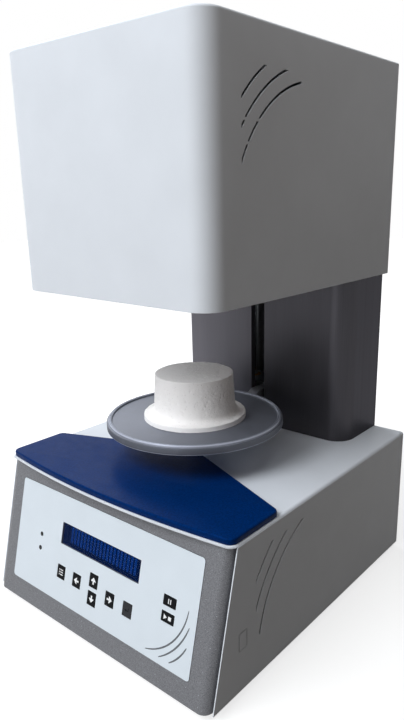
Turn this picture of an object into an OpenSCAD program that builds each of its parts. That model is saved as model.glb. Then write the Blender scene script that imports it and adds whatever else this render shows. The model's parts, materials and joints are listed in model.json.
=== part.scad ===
// Benchtop firing furnace with a lift: a leaning control panel on a sheet-metal base,
// a wide rear column, a box hood that holds the chamber, and a round platform with a
// ceramic plug that rises on an arm to close the chamber from below.
// Origin: middle of the outline on the bench. +Z up, -Y towards the user. Millimetres.

/* [Base housing] */
// Width over the side walls
base_w = 380; // [372:1:420]
// Depth along the bench, from the foot of the front to the back
base_d = 427; // [415:1:460]
// Height of the side walls
base_h = 176; // [170:1:200]
// Lean of the front from upright, in degrees
lean = 14; // [10:1:16]
// Thickness of the sheet metal
sheet_t = 1.5; // [1:0.1:2]
// Outer radius of the bend along the top side edges
bend_r = 4; // [3:0.5:6]
// Bow of the front lip of the top
lip_bow = 14; // [10:1:18]
// Radius of the lip's two corners
lip_corner_r = 10; // [8:1:14]
// Thickness of the hemmed lip
lip_t = 2.5; // [2:0.1:4]
// Depth of the rim round each rear cover
rear_rim = 5; // [4:0.5:8]
// Height of the feet
foot_h = 8; // [5:0.5:15]
// Radius of a foot at its top
foot_r = 14; // [10:1:18]
// Distance from the base's edges to the middle of a foot
foot_inset = 36; // [30:1:50]

/* [Control panel] */
// How far the panel stands in front of the side walls' edges
fascia_proud = 6.5; // [5:0.5:10]
// Wall of the panel moulding
fascia_t = 3; // [2.8:0.1:4]
// Gap between the panel and each side wall
fascia_gap = 2.5; // [1.5:0.1:4]
// Radius of the panel's rounded sides
fascia_r = 12; // [8:0.5:14]
// Depth of the panel's side walls behind the side walls' edges
fascia_back = 8; // [6:0.5:12]
// Width of the label
label_w = 315; // [300:1:320]
// Height of the label
label_h = 133; // [126:1:140]
// Radius of the label's corners
label_r = 4; // [2:0.5:8]
// Thickness of the label
label_t = 0.8; // [0.5:0.1:1]
// Width of the display opening
display_w = 139; // [130:0.5:142]
// Height of the display opening
display_h = 27.5; // [24:0.5:30]
// Height of the display's middle above the label's middle
display_up = 19.5; // [16:0.5:24]
// Thickness of the display window
window_t = 1.2; // [1:0.1:1.5]
// Width of a small key
key_w = 14.6; // [12:0.1:16]
// Height of a small key
key_h = 16.8; // [14:0.1:18]
// Spacing of the small keys' columns
key_pitch = 30; // [26:0.5:32]
// Spacing of the up and down keys
key_rise = 22; // [21:0.5:24]
// Distance of the keys' row below the label's middle
key_down_by = 29; // [27:0.5:31]
// Width of a wide key
wide_key_w = 18.3; // [16:0.1:22]
// Height of a wide key
wide_key_h = 11.5; // [9:0.1:13]
// Spacing of the two wide keys and the two lamps
wide_pitch = 18; // [16:0.5:20]
// Distance of the wide keys to the right of the middle
wide_key_x = 118; // [112:0.5:124]
// Distance of the lamps to the left of the middle
lamp_x = 108.5; // [100:0.5:116]
// Radius of a lamp
lamp_r = 2; // [1.5:0.1:3]
// Travel of a key
key_travel = 0.5; // [0.3:0.1:0.8]

/* [Work plate] */
// Thickness of the work plate
plate_t = 7.5; // [4:0.5:10]
// Distance of the plate's edge inside the lip
plate_inset = 2; // [1:0.5:5]
// Length of the plate's straight sides
plate_side = 72; // [60:1:90]
// Rise of the plate's rear edges towards the middle
plate_rise = 72; // [50:1:90]
// Radius of the plate's corners
plate_corner_r = 8; // [4:1:12]
// Radius at the rear point of the plate
plate_point_r = 60; // [20:5:80]
// Rounding along the plate's upper edge
plate_round = 2; // [0.5:0.1:2.5]

/* [Column] */
// Width of the column
column_w = 290; // [270:1:292]
// Depth of the column
column_d = 94; // [90:1:110]
// Height of the column between the base and the hood
column_h = 223.5; // [200:0.5:260]
// Radius of the column's front corners
column_r = 28; // [20:1:32]
// Sheet thickness of the column
column_t = 2; // [1.5:0.1:3]
// Width of the slot for the arm
slot_w = 23; // [20:0.5:30]
// Height of the slot's lower end above the base
slot_low = 12; // [8:1:16]
// Depth of the folded edges of the slot
slot_fold = 8; // [5:0.5:9]

/* [Hood] */
// Width of the hood
hood_w = 300; // [294:1:320]
// Depth of the hood
hood_d = 379; // [365:1:390]
// Height of the hood
hood_h = 266; // [220:1:300]
// Radius of the hood's front corners
hood_corner_r = 25; // [15:1:35]
// Outer radius of the bends round the hood's top
hood_bend_r = 3; // [2.5:0.5:5]
// How far the hood stands behind the base
hood_over = 5.5; // [5.5:0.5:8]
// Thickness of the hood's floor plate
hood_floor_t = 3; // [3:0.5:5]

/* [Vents] */
// Radius of the innermost vent slot
vent_r = 145; // [140:1:150]
// Spacing of the vent slots
vent_pitch = 16; // [12:1:17]
// Width of a vent slot
vent_slot = 2.3; // [1.5:0.1:3]
// Number of vent slots in a group
vent_count = 3; // [2:1:3]

/* [Platform] */
// Radius of the platform
platform_r = 115.5; // [110:0.5:118]
// Thickness of the platform at its raised bead
platform_t = 11.5; // [9:0.5:14]
// Depth of the platform's dished face below the bead
platform_dish = 2.5; // [1.5:0.1:3]
// Width of the raised bead
bead_w = 5; // [4:0.5:7]
// Distance of the platform's middle in front of the column
platform_reach = 139; // [135:1:145]
// Height of the platform's underside above the base at rest
platform_rest = 43; // [40:1:60]
// Radius of the plug at its top
plug_r = 51; // [45:0.5:52]
// Radius of the plug above its flange
plug_foot_r = 54; // [52:0.5:54]
// Height of the plug above the dished face
plug_h = 59.5; // [45:0.5:65]
// Radius of the plug's flange
flange_r = 67; // [66:0.5:69]
// Thickness of the plug's flange
flange_t = 7; // [5:0.5:8]
// Radius of the fillet between the plug and its flange
plug_fillet = 8; // [5:0.5:9]

/* [Chamber] */
// Radius of the opening in the hood's floor
mouth_r = 72; // [71:0.5:78]
// Inner radius of the heating muffle
muffle_r = 57; // [56:0.5:60]
// Wall of the heating muffle
muffle_wall = 12; // [8:0.5:14]
// Height of the heating muffle
muffle_h = 100; // [80:1:120]
// Outer radius of the insulation
insulation_r = 98; // [94:1:100]
// Thickness of the insulation over the muffle
roof_t = 30; // [20:1:35]
// Wall of the muffle's casing
casing_t = 1.5; // [1:0.1:2]
// Width of the platform seal
seal_w = 6; // [5:0.5:7]
// How far the seal stands below the hood
seal_stand = 1.5; // [1:0.1:2]
// Gap left under the seal when the platform is up
closed_gap = 0.3; // [0.2:0.1:1]

/* [Lift] */
// Distance of the lead screw in front of the back
screw_set = 45; // [42:0.5:46]
// Radius of the lead screw
screw_r = 7; // [5:0.5:8]
// Radius of a guide rod
rod_r = 8; // [6:0.5:9]
// Distance of each guide rod from the middle
rod_x = 45; // [42:1:50]
// Wall of a guide bush
bush_wall = 4; // [3:0.5:5]
// Height of the carriage
carriage_h = 42; // [36:1:44]
// Depth of the carriage
carriage_d = 42; // [38:1:44]
// Width of the carriage
carriage_w = 126; // [122:1:140]
// Width of the mast channel
mast_w = 170; // [160:1:180]
// Sheet thickness of the mast channel
mast_t = 3; // [2:0.5:4]
// Thickness of the two bearing plates
bearing_plate_t = 8; // [6:0.5:10]
// Thickness of the arm
arm_w = 16; // [12:1:17]
// Side of the lift motor
motor_w = 57; // [42:1:60]
// Height of the lift motor
motor_h = 64; // [50:1:80]

/* [Rear fittings] */
// Radius of the vacuum hose nipple
nipple_r = 4; // [3:0.5:6]
// Length of the hose nipple behind the base
nipple_len = 14; // [12:0.5:20]
// Width of the mains inlet's flange
inlet_w = 48; // [46:1:52]
// Height of the mains inlet's flange
inlet_h = 28; // [26:1:32]
// Height of the rear fittings above the base's lower edge
fitting_z = 40; // [34:1:50]

/* [Hidden] */
$fn = 64;
// Small clearance that is past a face, so that a cut leaves no skin
past = 1;
// Running clearance of shafts and rods, on the radius
run_gap = 0.05;
// Clearance between covers and what lies inside them
fit_gap = 0.3;
// Gap round a key in its window
key_gap = 0.3;
// How far the label and the keys stand proud of the panel
label_stand = 0.2;
key_stand = 0.4;
// Rim that keeps a key behind the panel
key_flange = 1.5;
key_flange_t = 1.2;
key_corner_r = 0.6;

// Levels, from the bench upwards
z_base = foot_h;
z_top = foot_h + base_h;
z_hood = z_top + column_h;
z_roof = z_hood + hood_h;
z_platform = z_top + platform_rest;
z_dish = z_platform + platform_t - platform_dish;
lift_travel = z_hood - seal_stand - closed_gap - z_platform - platform_t;

// Places from front to back
front_over = fascia_proud / cos(lean);
total_d = front_over + base_d + nipple_len;
y_foot = -total_d / 2 + front_over;
y_back = y_foot + base_d;
y_wall_top = y_foot + base_h * tan(lean);
y_column = y_back - column_d;
y_screw = y_back - screw_set;
y_platform = y_column - platform_reach;
y_hood_back = y_back + hood_over;
y_hood_front = y_hood_back - hood_d;

// Front lip: a wide arc between two corner arcs
lip_r = (pow(base_w / 2, 2) + pow(lip_bow, 2)) / (2 * lip_bow);
lip_corner_x = base_w / 2 - lip_corner_r;
lip_reach = lip_r - sqrt(pow(lip_r - lip_corner_r, 2) - pow(lip_corner_x, 2));
lip_hem = 6;
foot_taper = 1.5;
foot_bevel = 1;

// Panel, measured up the slope and out of it
slope = base_h / cos(lean);
label_mid = slope / 2;
fascia_half = base_w / 2 - sheet_t - fascia_gap;
n_face = fascia_proud;
n_back = n_face - fascia_t;
n_recess = n_face - label_t + label_stand;
n_flange = n_back - run_gap - key_flange_t;
n_board = n_flange - key_travel - 0.1;
board_t = 1.6;
key_x = -2.5;
key_row = label_mid - key_down_by;
wide_row = label_mid - 4;

// Posts that carry the key board, across the panel and up from the keys' row
board_posts = [[-90, 0], [-18, 4], [12, -13], [90, 0]];
post_r = 2.5;
board_edge = 5;
board_gap = 2;
panel_over = 30;

// Display parts behind the panel
display_mid = label_mid + display_up;
window_rim = 2;
window_w = display_w + 2 * window_rim;
window_h = display_h + 2 * window_rim;
lamp_gap = 0.2;
cell_board_rim = 3.5;
lit_w = 123;
lit_h = 23;
bezel_rim = 8;
bezel_t = 6;
lit_depth = 1;

// Vent groups, from the middle of their arcs: how far back and up it lies, and the edges
// of the field that the slots fill
base_vent = [221, 21];
base_field = [-148, 0, 29.5, 132.5];
hood_vent = [183, 189.5];
hood_field = [-131, -30, 0, 150.5];
web_h = 3;
hood_webs = [79.5, 101];
knockout = [50, 61, 14, 22];
knockout_r = 1;
knockout_groove = 1;
knockout_depth = 0.6;

// Louvres in the rear covers, and their levels as shares of a cover's height
louvre_h = 3;
louvre_pitch = 9;
base_louvres_at = 0.7;
hood_louvres_at = [0.3, 0.7];

// Lift parts, inside the column
arm_root_t = 8;
arm_root_w = 50;
arm_drop = 25;
arm_tip_drop = 12;
arm_boss_r = 30;
arm_shoulder = 6;
arm_rim_gap = 2;
arm_nose = 3;
boss_screw_ring = 22;
boss_screw_r = 2;
mast_back = 8;
mast_d = 70;
mast_over = 30;
mast_ear = 20;
mast_ear_short = 10;
mast_hole_front = 12;
mast_hole_gap = 1;
plate_set_back = 2;
plate_over = 12;
nut_r = 12;
nut_flange_r = 18;
nut_flange_t = 4;
bearing_wall = 7;
shaft_r = 4;
coupling_r = 11;
coupling_h = 26;
coupling_drop = 6;
coupling_gap = 2;
shaft_in = 18;
motor_bore = 20;
motor_r = 4;
pillar_r = 4;
pillar_edge = 1;
carriage_under = 2;
carriage_r = 3;
y_carriage = y_screw - carriage_d / 2;
z_carriage = z_platform - arm_drop - carriage_under;
z_upper = z_hood + plate_over;
z_coupling = z_top - sheet_t - coupling_drop;
z_motor = z_coupling - coupling_h - coupling_gap;

// Chamber parts, above the hood's floor
z_chamber = z_hood + hood_floor_t;
plug_round = 2.6;
flange_round = 1.2;
z_ledge = z_hood + 6;
z_muffle = z_hood + 12;
ledge_r = muffle_r + 3;
casing_flange = 8;
probe_r = 2.5;
probe_drop = 18;
probe_head = [24, 16, 14];
probe_head_r = 3;
groove_depth = 1.5;

// Work plate, whose front edge follows the lip
plate_half = base_w / 2 - plate_inset;
plate_arc_r = lip_r - plate_inset;
plate_arc_y = y_wall_top - lip_reach + lip_r;
plate_edge_lift = 0.5;
plate_skin = 0.1;

// Bead of the platform, which meets the seal
bead_edge = 2;
bead_step = 3;
bead_slant = 1;
bead_round = 1.2;
rim_round = 0.9;
bead_mid = platform_r - bead_edge - bead_w / 2;

// Electrics that stand on the base's floor: where their middles lie, and their sizes
board_place = [base_w / 2 - 120, 170];
board_size = [150, 110];
board_lift = 10;
board_post = [68, 48];
board_post_r = 3;
heat_sink = [50, 30, 18];
transformer_place = [95 - base_w / 2, 190];
transformer_foot = [110, 70, 3];
transformer_core = [90, 40, 75];
transformer_coil = [62, 68, 48];
transformer_coil_up = 14;
transformer_coil_r = 6;

// Rear fittings, left to right as the back cover carries them
inlet_x = 120;
inlet_flange_t = 2.5;
inlet_deep = 22;
inlet_lap = [7, 3];
inlet_body = [inlet_w, inlet_h] - 2 * inlet_lap;
inlet_r = 3;
socket_half = [12, 8];
socket_slant = 4;
socket_deep = 16;
pin_size = [2, 4];
pin_spacing = 7;
pin_offset = 2;
pin_short = 5;
pin_tail = 6;
switch_x = 60;
switch_w = 21;
switch_h = 32;
switch_flange_t = 2;
switch_lap = 3;
switch_body = [switch_w - 2 * switch_lap, switch_h - 2 * switch_lap];
switch_r = 2;
switch_deep = 18;
rocker_w = 10;
rocker_half = 11.4;
rocker_y = -2;
rocker_tilt = 8;
rocker_swing = 1;
rocker_back = [3, 8];
rocker_edge = [2, 5.5];
rocker_waist = 4.2;
rocker_pit = 12;
rocker_pin_r = 1.5;
fuse_x = 15;
fuse_r = 6;
fuse_flange = 2.5;
fuse_flange_t = 2;
fuse_slot = 1.5;
fuse_deep = 24;
fuse_cap = 7;
nipple_x = -120;
nipple_wall = 1;
nipple_hex = 5;
nipple_hex_t = 3;
nipple_deep = 14;
wall_gap = 0.5;
cover_r = 2;

// Screws that hold the covers, as places across and up each cover
screw_head = 3.2;
screw_head_t = 1.8;
screw_shank = 1.6;
screw_edge = 12;
base_screw_places = [for (x = [-1, 0, 1], z = [screw_edge, base_h - screw_edge])
    [x * (base_w / 2 - screw_edge), z]];
column_screw_places = [for (x = [-1, 1], z = [screw_edge, column_h - screw_edge])
    [x * (column_w / 2 - screw_edge), z]];
hood_screw_places = [for (x = [-1, 0, 1], z = [screw_edge, hood_h - screw_edge])
    [x * (hood_w / 2 - screw_edge), z]];

// Helpers

module along_x(w) {
    rotate([90, 0, 90]) linear_extrude(w, center = true) children();
}

module along_y(a, b) {
    translate([0, b, 0]) rotate([90, 0, 0]) linear_extrude(b - a) children();
}

module up_z(a, b) {
    translate([0, 0, a]) linear_extrude(b - a) children();
}

// Rectangle about its middle, with round corners
module round_rect(w, h, r) {
    square([w - 2 * r, h], center = true);
    square([w, h - 2 * r], center = true);
    for (x = [-1, 1], y = [-1, 1])
        translate([x * (w / 2 - r), y * (h / 2 - r)]) circle(r);
}

// Rectangle that stands on the axis, with its two upper corners round
module arch(w, h, r) {
    translate([-w / 2, 0]) square([w, h - r]);
    translate([-w / 2 + r, 0]) square([w - 2 * r, h]);
    for (x = [-1, 1]) intersection() {
        translate([x * (w / 2 - r), h - r]) circle(r);
        translate([-w / 2, h - r]) square([w, r]);
    }
}

// Plan with its two front corners round, drawn in by the given inset on three sides
module front_round(w, y0, y1, r, inset) {
    translate([-w / 2 + inset, y0 + r]) square([w - 2 * inset, y1 - y0 - r]);
    translate([-w / 2 + r, y0 + inset]) square([w - 2 * r, r - inset + past]);
    for (x = [-1, 1]) translate([x * (w / 2 - r), y0 + r]) circle(r - inset);
}

// Cover like a shallow tray: its back at y = 0, its rim towards the front
module rear_tray(w, h, r) {
    difference() {
        along_y(-rear_rim, 0) arch(w, h, r);
        along_y(-rear_rim - past, -sheet_t) translate([0, sheet_t])
            arch(w - 2 * sheet_t, h - 2 * sheet_t, max(r - sheet_t, 0.5));
    }
}

// Frame of the panel: x across, y up the slope, z straight out of the panel
module on_panel() {
    translate([0, y_foot, z_base]) rotate([90 - lean, 0, 0]) children();
}

module panel_slab(a, b) {
    on_panel() up_z(a, b) children();
}

// Field of concentric arc slots, from the middle of the arcs
module vent_slots(field) {
    intersection() {
        union() {
            for (i = [0 : vent_count - 1]) difference() {
                circle(vent_r + i * vent_pitch + vent_slot / 2, $fn = 180);
                circle(vent_r + i * vent_pitch - vent_slot / 2, $fn = 180);
            }
        }
        translate([field[0], field[2]])
            square([field[1] - field[0], field[3] - field[2]]);
    }
}

// Row of long slots, one above the other
module louvres(count, w) {
    for (i = [0 : count - 1]) translate([0, (i - (count - 1) / 2) * louvre_pitch])
        round_rect(w, louvre_h, louvre_h / 2 - 0.01);
}

// Points of a corner at b between a and c, rounded by r
function unit(v) = v / norm(v);
function corner(a, b, c, r, n) =
    let (
        u = unit(a - b),
        v = unit(c - b),
        half = acos(u * v) / 2,
        p = b + u * r / tan(half),
        q = b + v * r / tan(half),
        m = b + unit(u + v) * r / sin(half),
        turn = 180 - 2 * half,
        side = sign(cross(p - m, q - m))
    )
    [for (i = [0 : n])
        let (t = side * turn * i / n)
        m + [[cos(t), -sin(t)], [sin(t), cos(t)]] * (p - m)];

// Closed outline whose corners are rounded by the given radii, where 0 leaves a sharp one
function rounded(p, r) = [for (i = [0 : len(p) - 1])
    let (a = p[(i + len(p) - 1) % len(p)], c = p[(i + 1) % len(p)])
    each r[i] > 0 ? corner(a, p[i], c, r[i], 5) : [p[i]]];

// Base housing

module base_section(inset) {
    translate([0, z_base]) arch(base_w - 2 * inset, base_h - inset, bend_r - inset);
}

module lip_plan() {
    arc_x = lip_corner_x * lip_r / (lip_r - lip_corner_r);
    intersection() {
        translate([0, y_wall_top - lip_reach + lip_r]) circle(lip_r, $fn = 720);
        translate([-arc_x, y_wall_top - lip_reach - past])
            square([2 * arc_x, lip_reach + past + lip_hem]);
    }
    for (x = [-1, 1]) translate([x * lip_corner_x, y_wall_top]) circle(lip_corner_r);
    translate([-base_w / 2, y_wall_top]) square([base_w, lip_hem]);
}

module base_walls() {
    y_end = y_back - rear_rim;
    difference() {
        intersection() {
            along_y(y_foot, y_end) base_section(0);
            along_x(base_w + 2 * past) polygon([
                [y_foot, z_base], [y_wall_top, z_top], [y_end, z_top], [y_end, z_base]
            ]);
        }
        along_y(y_foot - past, y_end + past) {
            base_section(sheet_t);
            translate([-base_w / 2 + sheet_t, z_base - past])
                square([base_w - 2 * sheet_t, base_h / 2]);
        }
    }
}

module base_housing() color([0.84, 0.86, 0.9]) difference() {
    union() {
        base_walls();
        intersection() {
            along_y(y_wall_top - lip_reach - past, y_wall_top + lip_hem) base_section(0);
            up_z(z_top - lip_t, z_top) lip_plan();
        }
    }
    along_x(base_w + 2 * past)
        translate([y_foot + base_vent[0], z_base + base_vent[1]]) vent_slots(base_field);
    translate([base_w / 2, 0, 0]) along_x(2 * knockout_depth)
        translate([y_foot + knockout[0], z_base + knockout[1]]) difference() {
            round_rect(knockout[2], knockout[3], knockout_r);
            round_rect(knockout[2] - 2 * knockout_groove, knockout[3] - 2 * knockout_groove,
                knockout_r / 2);
        }
    up_z(z_top - sheet_t - past, z_top + past) translate([0, y_screw])
        circle(coupling_r + coupling_gap);
}

module base_floor() color([0.55, 0.56, 0.58]) {
    y_in = y_foot + fascia_back + past;
    y_start = y_foot - n_back / cos(lean) + sheet_t * tan(lean) + fit_gap;
    front_half = fascia_half - fascia_t - fit_gap;
    round_in = fascia_r - fascia_t + 2 * fit_gap;
    half = base_w / 2 - sheet_t - fit_gap;
    y_end = y_back - rear_rim - fit_gap;
    up_z(z_base, z_base + sheet_t) {
        front_round(2 * front_half, y_start, y_in + past + round_in, round_in, 0);
        translate([-half, y_in]) square([2 * half, y_end - y_in]);
    }
}

module base_rear_cover() color([0.8, 0.82, 0.86]) difference() {
    translate([0, y_back, z_base]) rear_tray(base_w, base_h, bend_r);
    along_y(y_back - sheet_t - past, y_back + past) {
        translate([inlet_x, z_base + fitting_z])
            square(inlet_body + [1, 1] * 2 * wall_gap, center = true);
        translate([switch_x, z_base + fitting_z])
            square(switch_body + [1, 1] * 2 * wall_gap, center = true);
        translate([fuse_x, z_base + fitting_z]) circle(fuse_r + fit_gap);
        translate([nipple_x, z_base + fitting_z]) circle(nipple_r + nipple_wall + fit_gap);
        translate([0, z_base + base_h * base_louvres_at]) louvres(5, 120);
        for (p = base_screw_places) translate([p[0], z_base + p[1]]) circle(screw_shank + 0.1);
    }
}

module feet() color([0.12, 0.12, 0.13])
    for (x = [-1, 1], y = [y_foot + foot_inset, y_back - foot_inset])
        translate([x * (base_w / 2 - foot_inset), y, 0])
            rotate_extrude() polygon([
                [0, 0], [foot_r - foot_taper - foot_bevel, 0], [foot_r - foot_taper, foot_bevel],
                [foot_r, foot_h], [0, foot_h]
            ]);

// Control panel

module panel_shape(inset) {
    w = 2 * (fascia_half - inset);
    translate([0, -fascia_back]) arch(w, fascia_back + n_face - inset, fascia_r - inset);
}

module key_windows(grow) {
    for (x = [-2, -1, 1, 2]) translate([key_x + x * key_pitch, key_row])
        round_rect(key_w + grow, key_h + grow, key_corner_r + key_gap);
    for (y = [-0.5, 0.5]) translate([key_x, key_row + y * key_rise])
        round_rect(key_w + grow, key_h + grow, key_corner_r + key_gap);
    for (y = [-0.5, 0.5]) translate([wide_key_x, wide_row + y * wide_pitch])
        round_rect(wide_key_w + grow, wide_key_h + grow, key_corner_r + key_gap);
}

module lamp_holes(grow) {
    for (y = [-0.5, 0.5]) translate([-lamp_x, wide_row + y * wide_pitch]) circle(lamp_r + grow);
}

module board_outline() {
    low = key_row - key_rise / 2 - key_h / 2 - board_edge;
    high = display_mid - display_h / 2 - bezel_rim - board_gap;
    tab_high = wide_row + wide_pitch / 2 + wide_key_h / 2 + board_edge;
    left = lamp_x + lamp_r + board_edge;
    right = wide_key_x + wide_key_w / 2 + board_edge;
    cell_half = window_w / 2 + 2 * board_edge;
    translate([-left, low]) square([left + right, high - low]);
    translate([cell_half, low]) square([right - cell_half, tab_high - low]);
    translate([-left, low]) square([left - cell_half, tab_high - low]);
}

module fascia() color([0.45, 0.46, 0.48]) {
    difference() {
        intersection() {
            on_panel() along_y(-panel_over, slope + panel_over) panel_shape(0);
            up_z(z_base, z_top - lip_t - fit_gap) translate([-base_w, y_foot - base_w])
                square(2 * base_w);
        }
        on_panel() along_y(-panel_over - past, slope + panel_over + past) {
            panel_shape(fascia_t);
            translate([-fascia_half + fascia_t, -fascia_back - past])
                square([2 * (fascia_half - fascia_t), 2 * past]);
        }
        panel_slab(n_recess, n_face + past) translate([0, label_mid])
            round_rect(label_w + fit_gap, label_h + fit_gap, label_r);
        panel_slab(n_recess - window_t, n_face) translate([0, display_mid])
            square([window_w + fit_gap, window_h + fit_gap], center = true);
        panel_slab(n_back - past, n_face) {
            translate([0, display_mid]) square([display_w, display_h], center = true);
            key_windows(2 * key_gap);
            lamp_holes(lamp_gap);
        }
    }
    panel_slab(n_board, n_back + past)
        for (p = board_posts) translate([p[0], key_row + p[1]]) circle(post_r, $fn = 24);
}

module control_label() color([0.88, 0.91, 0.94])
    panel_slab(n_recess, n_face + label_stand) difference() {
        translate([0, label_mid]) round_rect(label_w, label_h, label_r);
        translate([0, display_mid]) square([display_w, display_h], center = true);
        key_windows(2 * key_gap);
        lamp_holes(lamp_gap);
    }

module display_window() color([0.2, 0.3, 0.5, 0.6])
    panel_slab(n_recess - window_t, n_recess) translate([0, display_mid])
        square([window_w, window_h], center = true);

module display_module() color([0.05, 0.1, 0.35]) {
    w = display_w + bezel_rim;
    h = display_h + bezel_rim;
    difference() {
        panel_slab(n_back - bezel_t, n_back) translate([0, display_mid])
            square([w, h], center = true);
        panel_slab(n_back - lit_depth, n_back + past) translate([0, display_mid])
            square([lit_w, lit_h], center = true);
    }
    panel_slab(n_back - bezel_t - board_t, n_back - bezel_t) translate([0, display_mid])
        square([w + 2 * cell_board_rim, h + 2 * cell_board_rim], center = true);
}

module indicator_lamps() color([0.15, 0.16, 0.17]) {
    panel_slab(n_board, n_face + label_stand) lamp_holes(0);
}

module key_board() color([0.1, 0.35, 0.2]) panel_slab(n_board - board_t, n_board) board_outline();

module key_cap(x, y, w, h) color([0.1, 0.1, 0.11]) {
    panel_slab(n_flange, n_flange + key_flange_t) translate([x, y])
        square([w + 2 * key_flange, h + 2 * key_flange], center = true);
    panel_slab(n_flange, n_face + key_stand) translate([x, y])
        round_rect(w, h, key_corner_r);
}

module key_program() key_cap(key_x - 2 * key_pitch, key_row, key_w, key_h);
module key_left() key_cap(key_x - key_pitch, key_row, key_w, key_h);
module key_up() key_cap(key_x, key_row + key_rise / 2, key_w, key_h);
module key_down() key_cap(key_x, key_row - key_rise / 2, key_w, key_h);
module key_right() key_cap(key_x + key_pitch, key_row, key_w, key_h);
module key_enter() key_cap(key_x + 2 * key_pitch, key_row, key_w, key_h);
module key_pause() key_cap(wide_key_x, wide_row + wide_pitch / 2, wide_key_w, wide_key_h);
module key_start_stop() key_cap(wide_key_x, wide_row - wide_pitch / 2, wide_key_w, wide_key_h);

// Work plate

function plate_outline(inset) =
    let (
        half = plate_half - inset,
        arc_r = plate_arc_r - inset,
        steps = 24,
        front_y = plate_arc_y - sqrt(pow(arc_r, 2) - pow(half, 2)),
        side_y = y_wall_top + plate_side - inset / 2,
        point_y = y_wall_top + plate_side + plate_rise - inset,
        arc = [for (i = [0 : steps])
            let (x = -half + 2 * half * i / steps)
            [x, plate_arc_y - sqrt(pow(arc_r, 2) - pow(x, 2))]],
        right = [half, front_y],
        left = [-half, front_y],
        side_right = [half, side_y],
        side_left = [-half, side_y],
        point = [0, point_y]
    )
    concat(
        [for (i = [1 : steps - 1]) arc[i]],
        corner(arc[steps - 1], right, side_right, plate_corner_r - inset, 8),
        corner(right, side_right, point, plate_corner_r - inset, 8),
        corner(side_right, point, side_left, plate_point_r, 12),
        corner(point, side_left, left, plate_corner_r - inset, 8),
        corner(side_left, left, arc[1], plate_corner_r - inset, 8)
    );

module work_plate() color([0.06, 0.14, 0.36]) hull() {
    up_z(z_top, z_top + plate_skin) polygon(plate_outline(plate_edge_lift));
    up_z(z_top + plate_edge_lift, z_top + plate_t - plate_round) polygon(plate_outline(0));
    for (a = [30 : 30 : 90]) {
        z = z_top + plate_t - plate_round * (1 - sin(a));
        up_z(z - plate_skin, z) polygon(plate_outline(plate_round * (1 - cos(a))));
    }
}

// Column

module column_cover() color([0.36, 0.35, 0.36]) {
    y_end = y_back - rear_rim;
    difference() {
        up_z(z_top, z_hood) front_round(column_w, y_column, y_end, column_r, 0);
        up_z(z_top - past, z_hood + past)
            front_round(column_w, y_column, y_end + past, column_r, column_t);
        up_z(z_top + slot_low, z_hood + past) translate([-slot_w / 2, y_column - past])
            square([slot_w, column_t + 2 * past]);
    }
    for (x = [-1, 1]) up_z(z_top + slot_low, z_hood)
        translate([x * (slot_w + column_t) / 2 - column_t / 2, y_column + column_t / 2])
            square([column_t, slot_fold]);
}

module column_back() color([0.3, 0.3, 0.31]) difference() {
    translate([0, y_back, z_top]) rear_tray(column_w, column_h, cover_r);
    along_y(y_back - sheet_t - past, y_back + past) {
        translate([0, z_top + column_h / 2]) louvres(7, 90);
        for (p = column_screw_places) translate([p[0], z_top + p[1]]) circle(screw_shank + 0.1);
    }
}

// Lift

module mast() color([0.6, 0.61, 0.63]) {
    y1 = y_back - mast_back;
    difference() {
        up_z(z_top, z_hood + mast_over) translate([-mast_w / 2, y1 - mast_d])
            square([mast_w, mast_d]);
        up_z(z_top - past, z_hood + mast_over + past)
            translate([-mast_w / 2 + mast_t, y1 - mast_d - past])
                square([mast_w - 2 * mast_t, mast_d - mast_t + past]);
    }
    for (x = [-1, 1]) up_z(z_chamber, z_chamber + mast_t)
        translate([x * (mast_w + mast_ear - past) / 2, y1 - mast_d / 2])
            square([mast_ear + past, mast_d - mast_ear_short], center = true);
}

module bearing_plate(z) {
    w = mast_w - 2 * mast_t - 2 * fit_gap;
    y1 = y_back - mast_back - mast_t - fit_gap;
    y0 = y_back - mast_back - mast_d + plate_set_back;
    difference() {
        up_z(z, z + bearing_plate_t) translate([-w / 2, y0]) square([w, y1 - y0]);
        up_z(z - past, z + bearing_plate_t + past) {
            for (x = [-1, 1]) translate([x * rod_x, y_screw]) circle(rod_r + run_gap);
            translate([0, y_screw]) circle(screw_r + bearing_wall + run_gap);
        }
    }
}

module lower_bearing_plate() color([0.7, 0.71, 0.72]) bearing_plate(z_top);
module upper_bearing_plate() color([0.7, 0.71, 0.72]) bearing_plate(z_upper);

module guide_rods() color([0.8, 0.8, 0.82])
    for (x = [-1, 1]) up_z(z_top, z_upper + bearing_plate_t) translate([x * rod_x, y_screw])
        circle(rod_r);

module screw_bearings() color([0.65, 0.65, 0.68])
    for (z = [z_top, z_upper]) up_z(z, z + bearing_plate_t) translate([0, y_screw]) difference() {
        circle(screw_r + bearing_wall);
        circle(screw_r + run_gap);
    }

module lead_screw() color([0.7, 0.7, 0.72])
    up_z(z_coupling - coupling_h / 2, z_upper + bearing_plate_t)
        translate([0, y_screw]) circle(screw_r);

module motor_coupling() color([0.5, 0.5, 0.55]) translate([0, y_screw, 0]) difference() {
    z_mid = z_coupling - coupling_h / 2;
    up_z(z_coupling - coupling_h, z_coupling) circle(coupling_r);
    up_z(z_mid, z_coupling + past) circle(screw_r + run_gap);
    up_z(z_coupling - coupling_h - past, z_mid - coupling_gap) circle(shaft_r + run_gap);
}

module motor_shaft() color([0.75, 0.75, 0.77])
    up_z(z_motor - shaft_in, z_coupling - coupling_h / 2 - coupling_gap)
        translate([0, y_screw]) circle(shaft_r);

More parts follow.
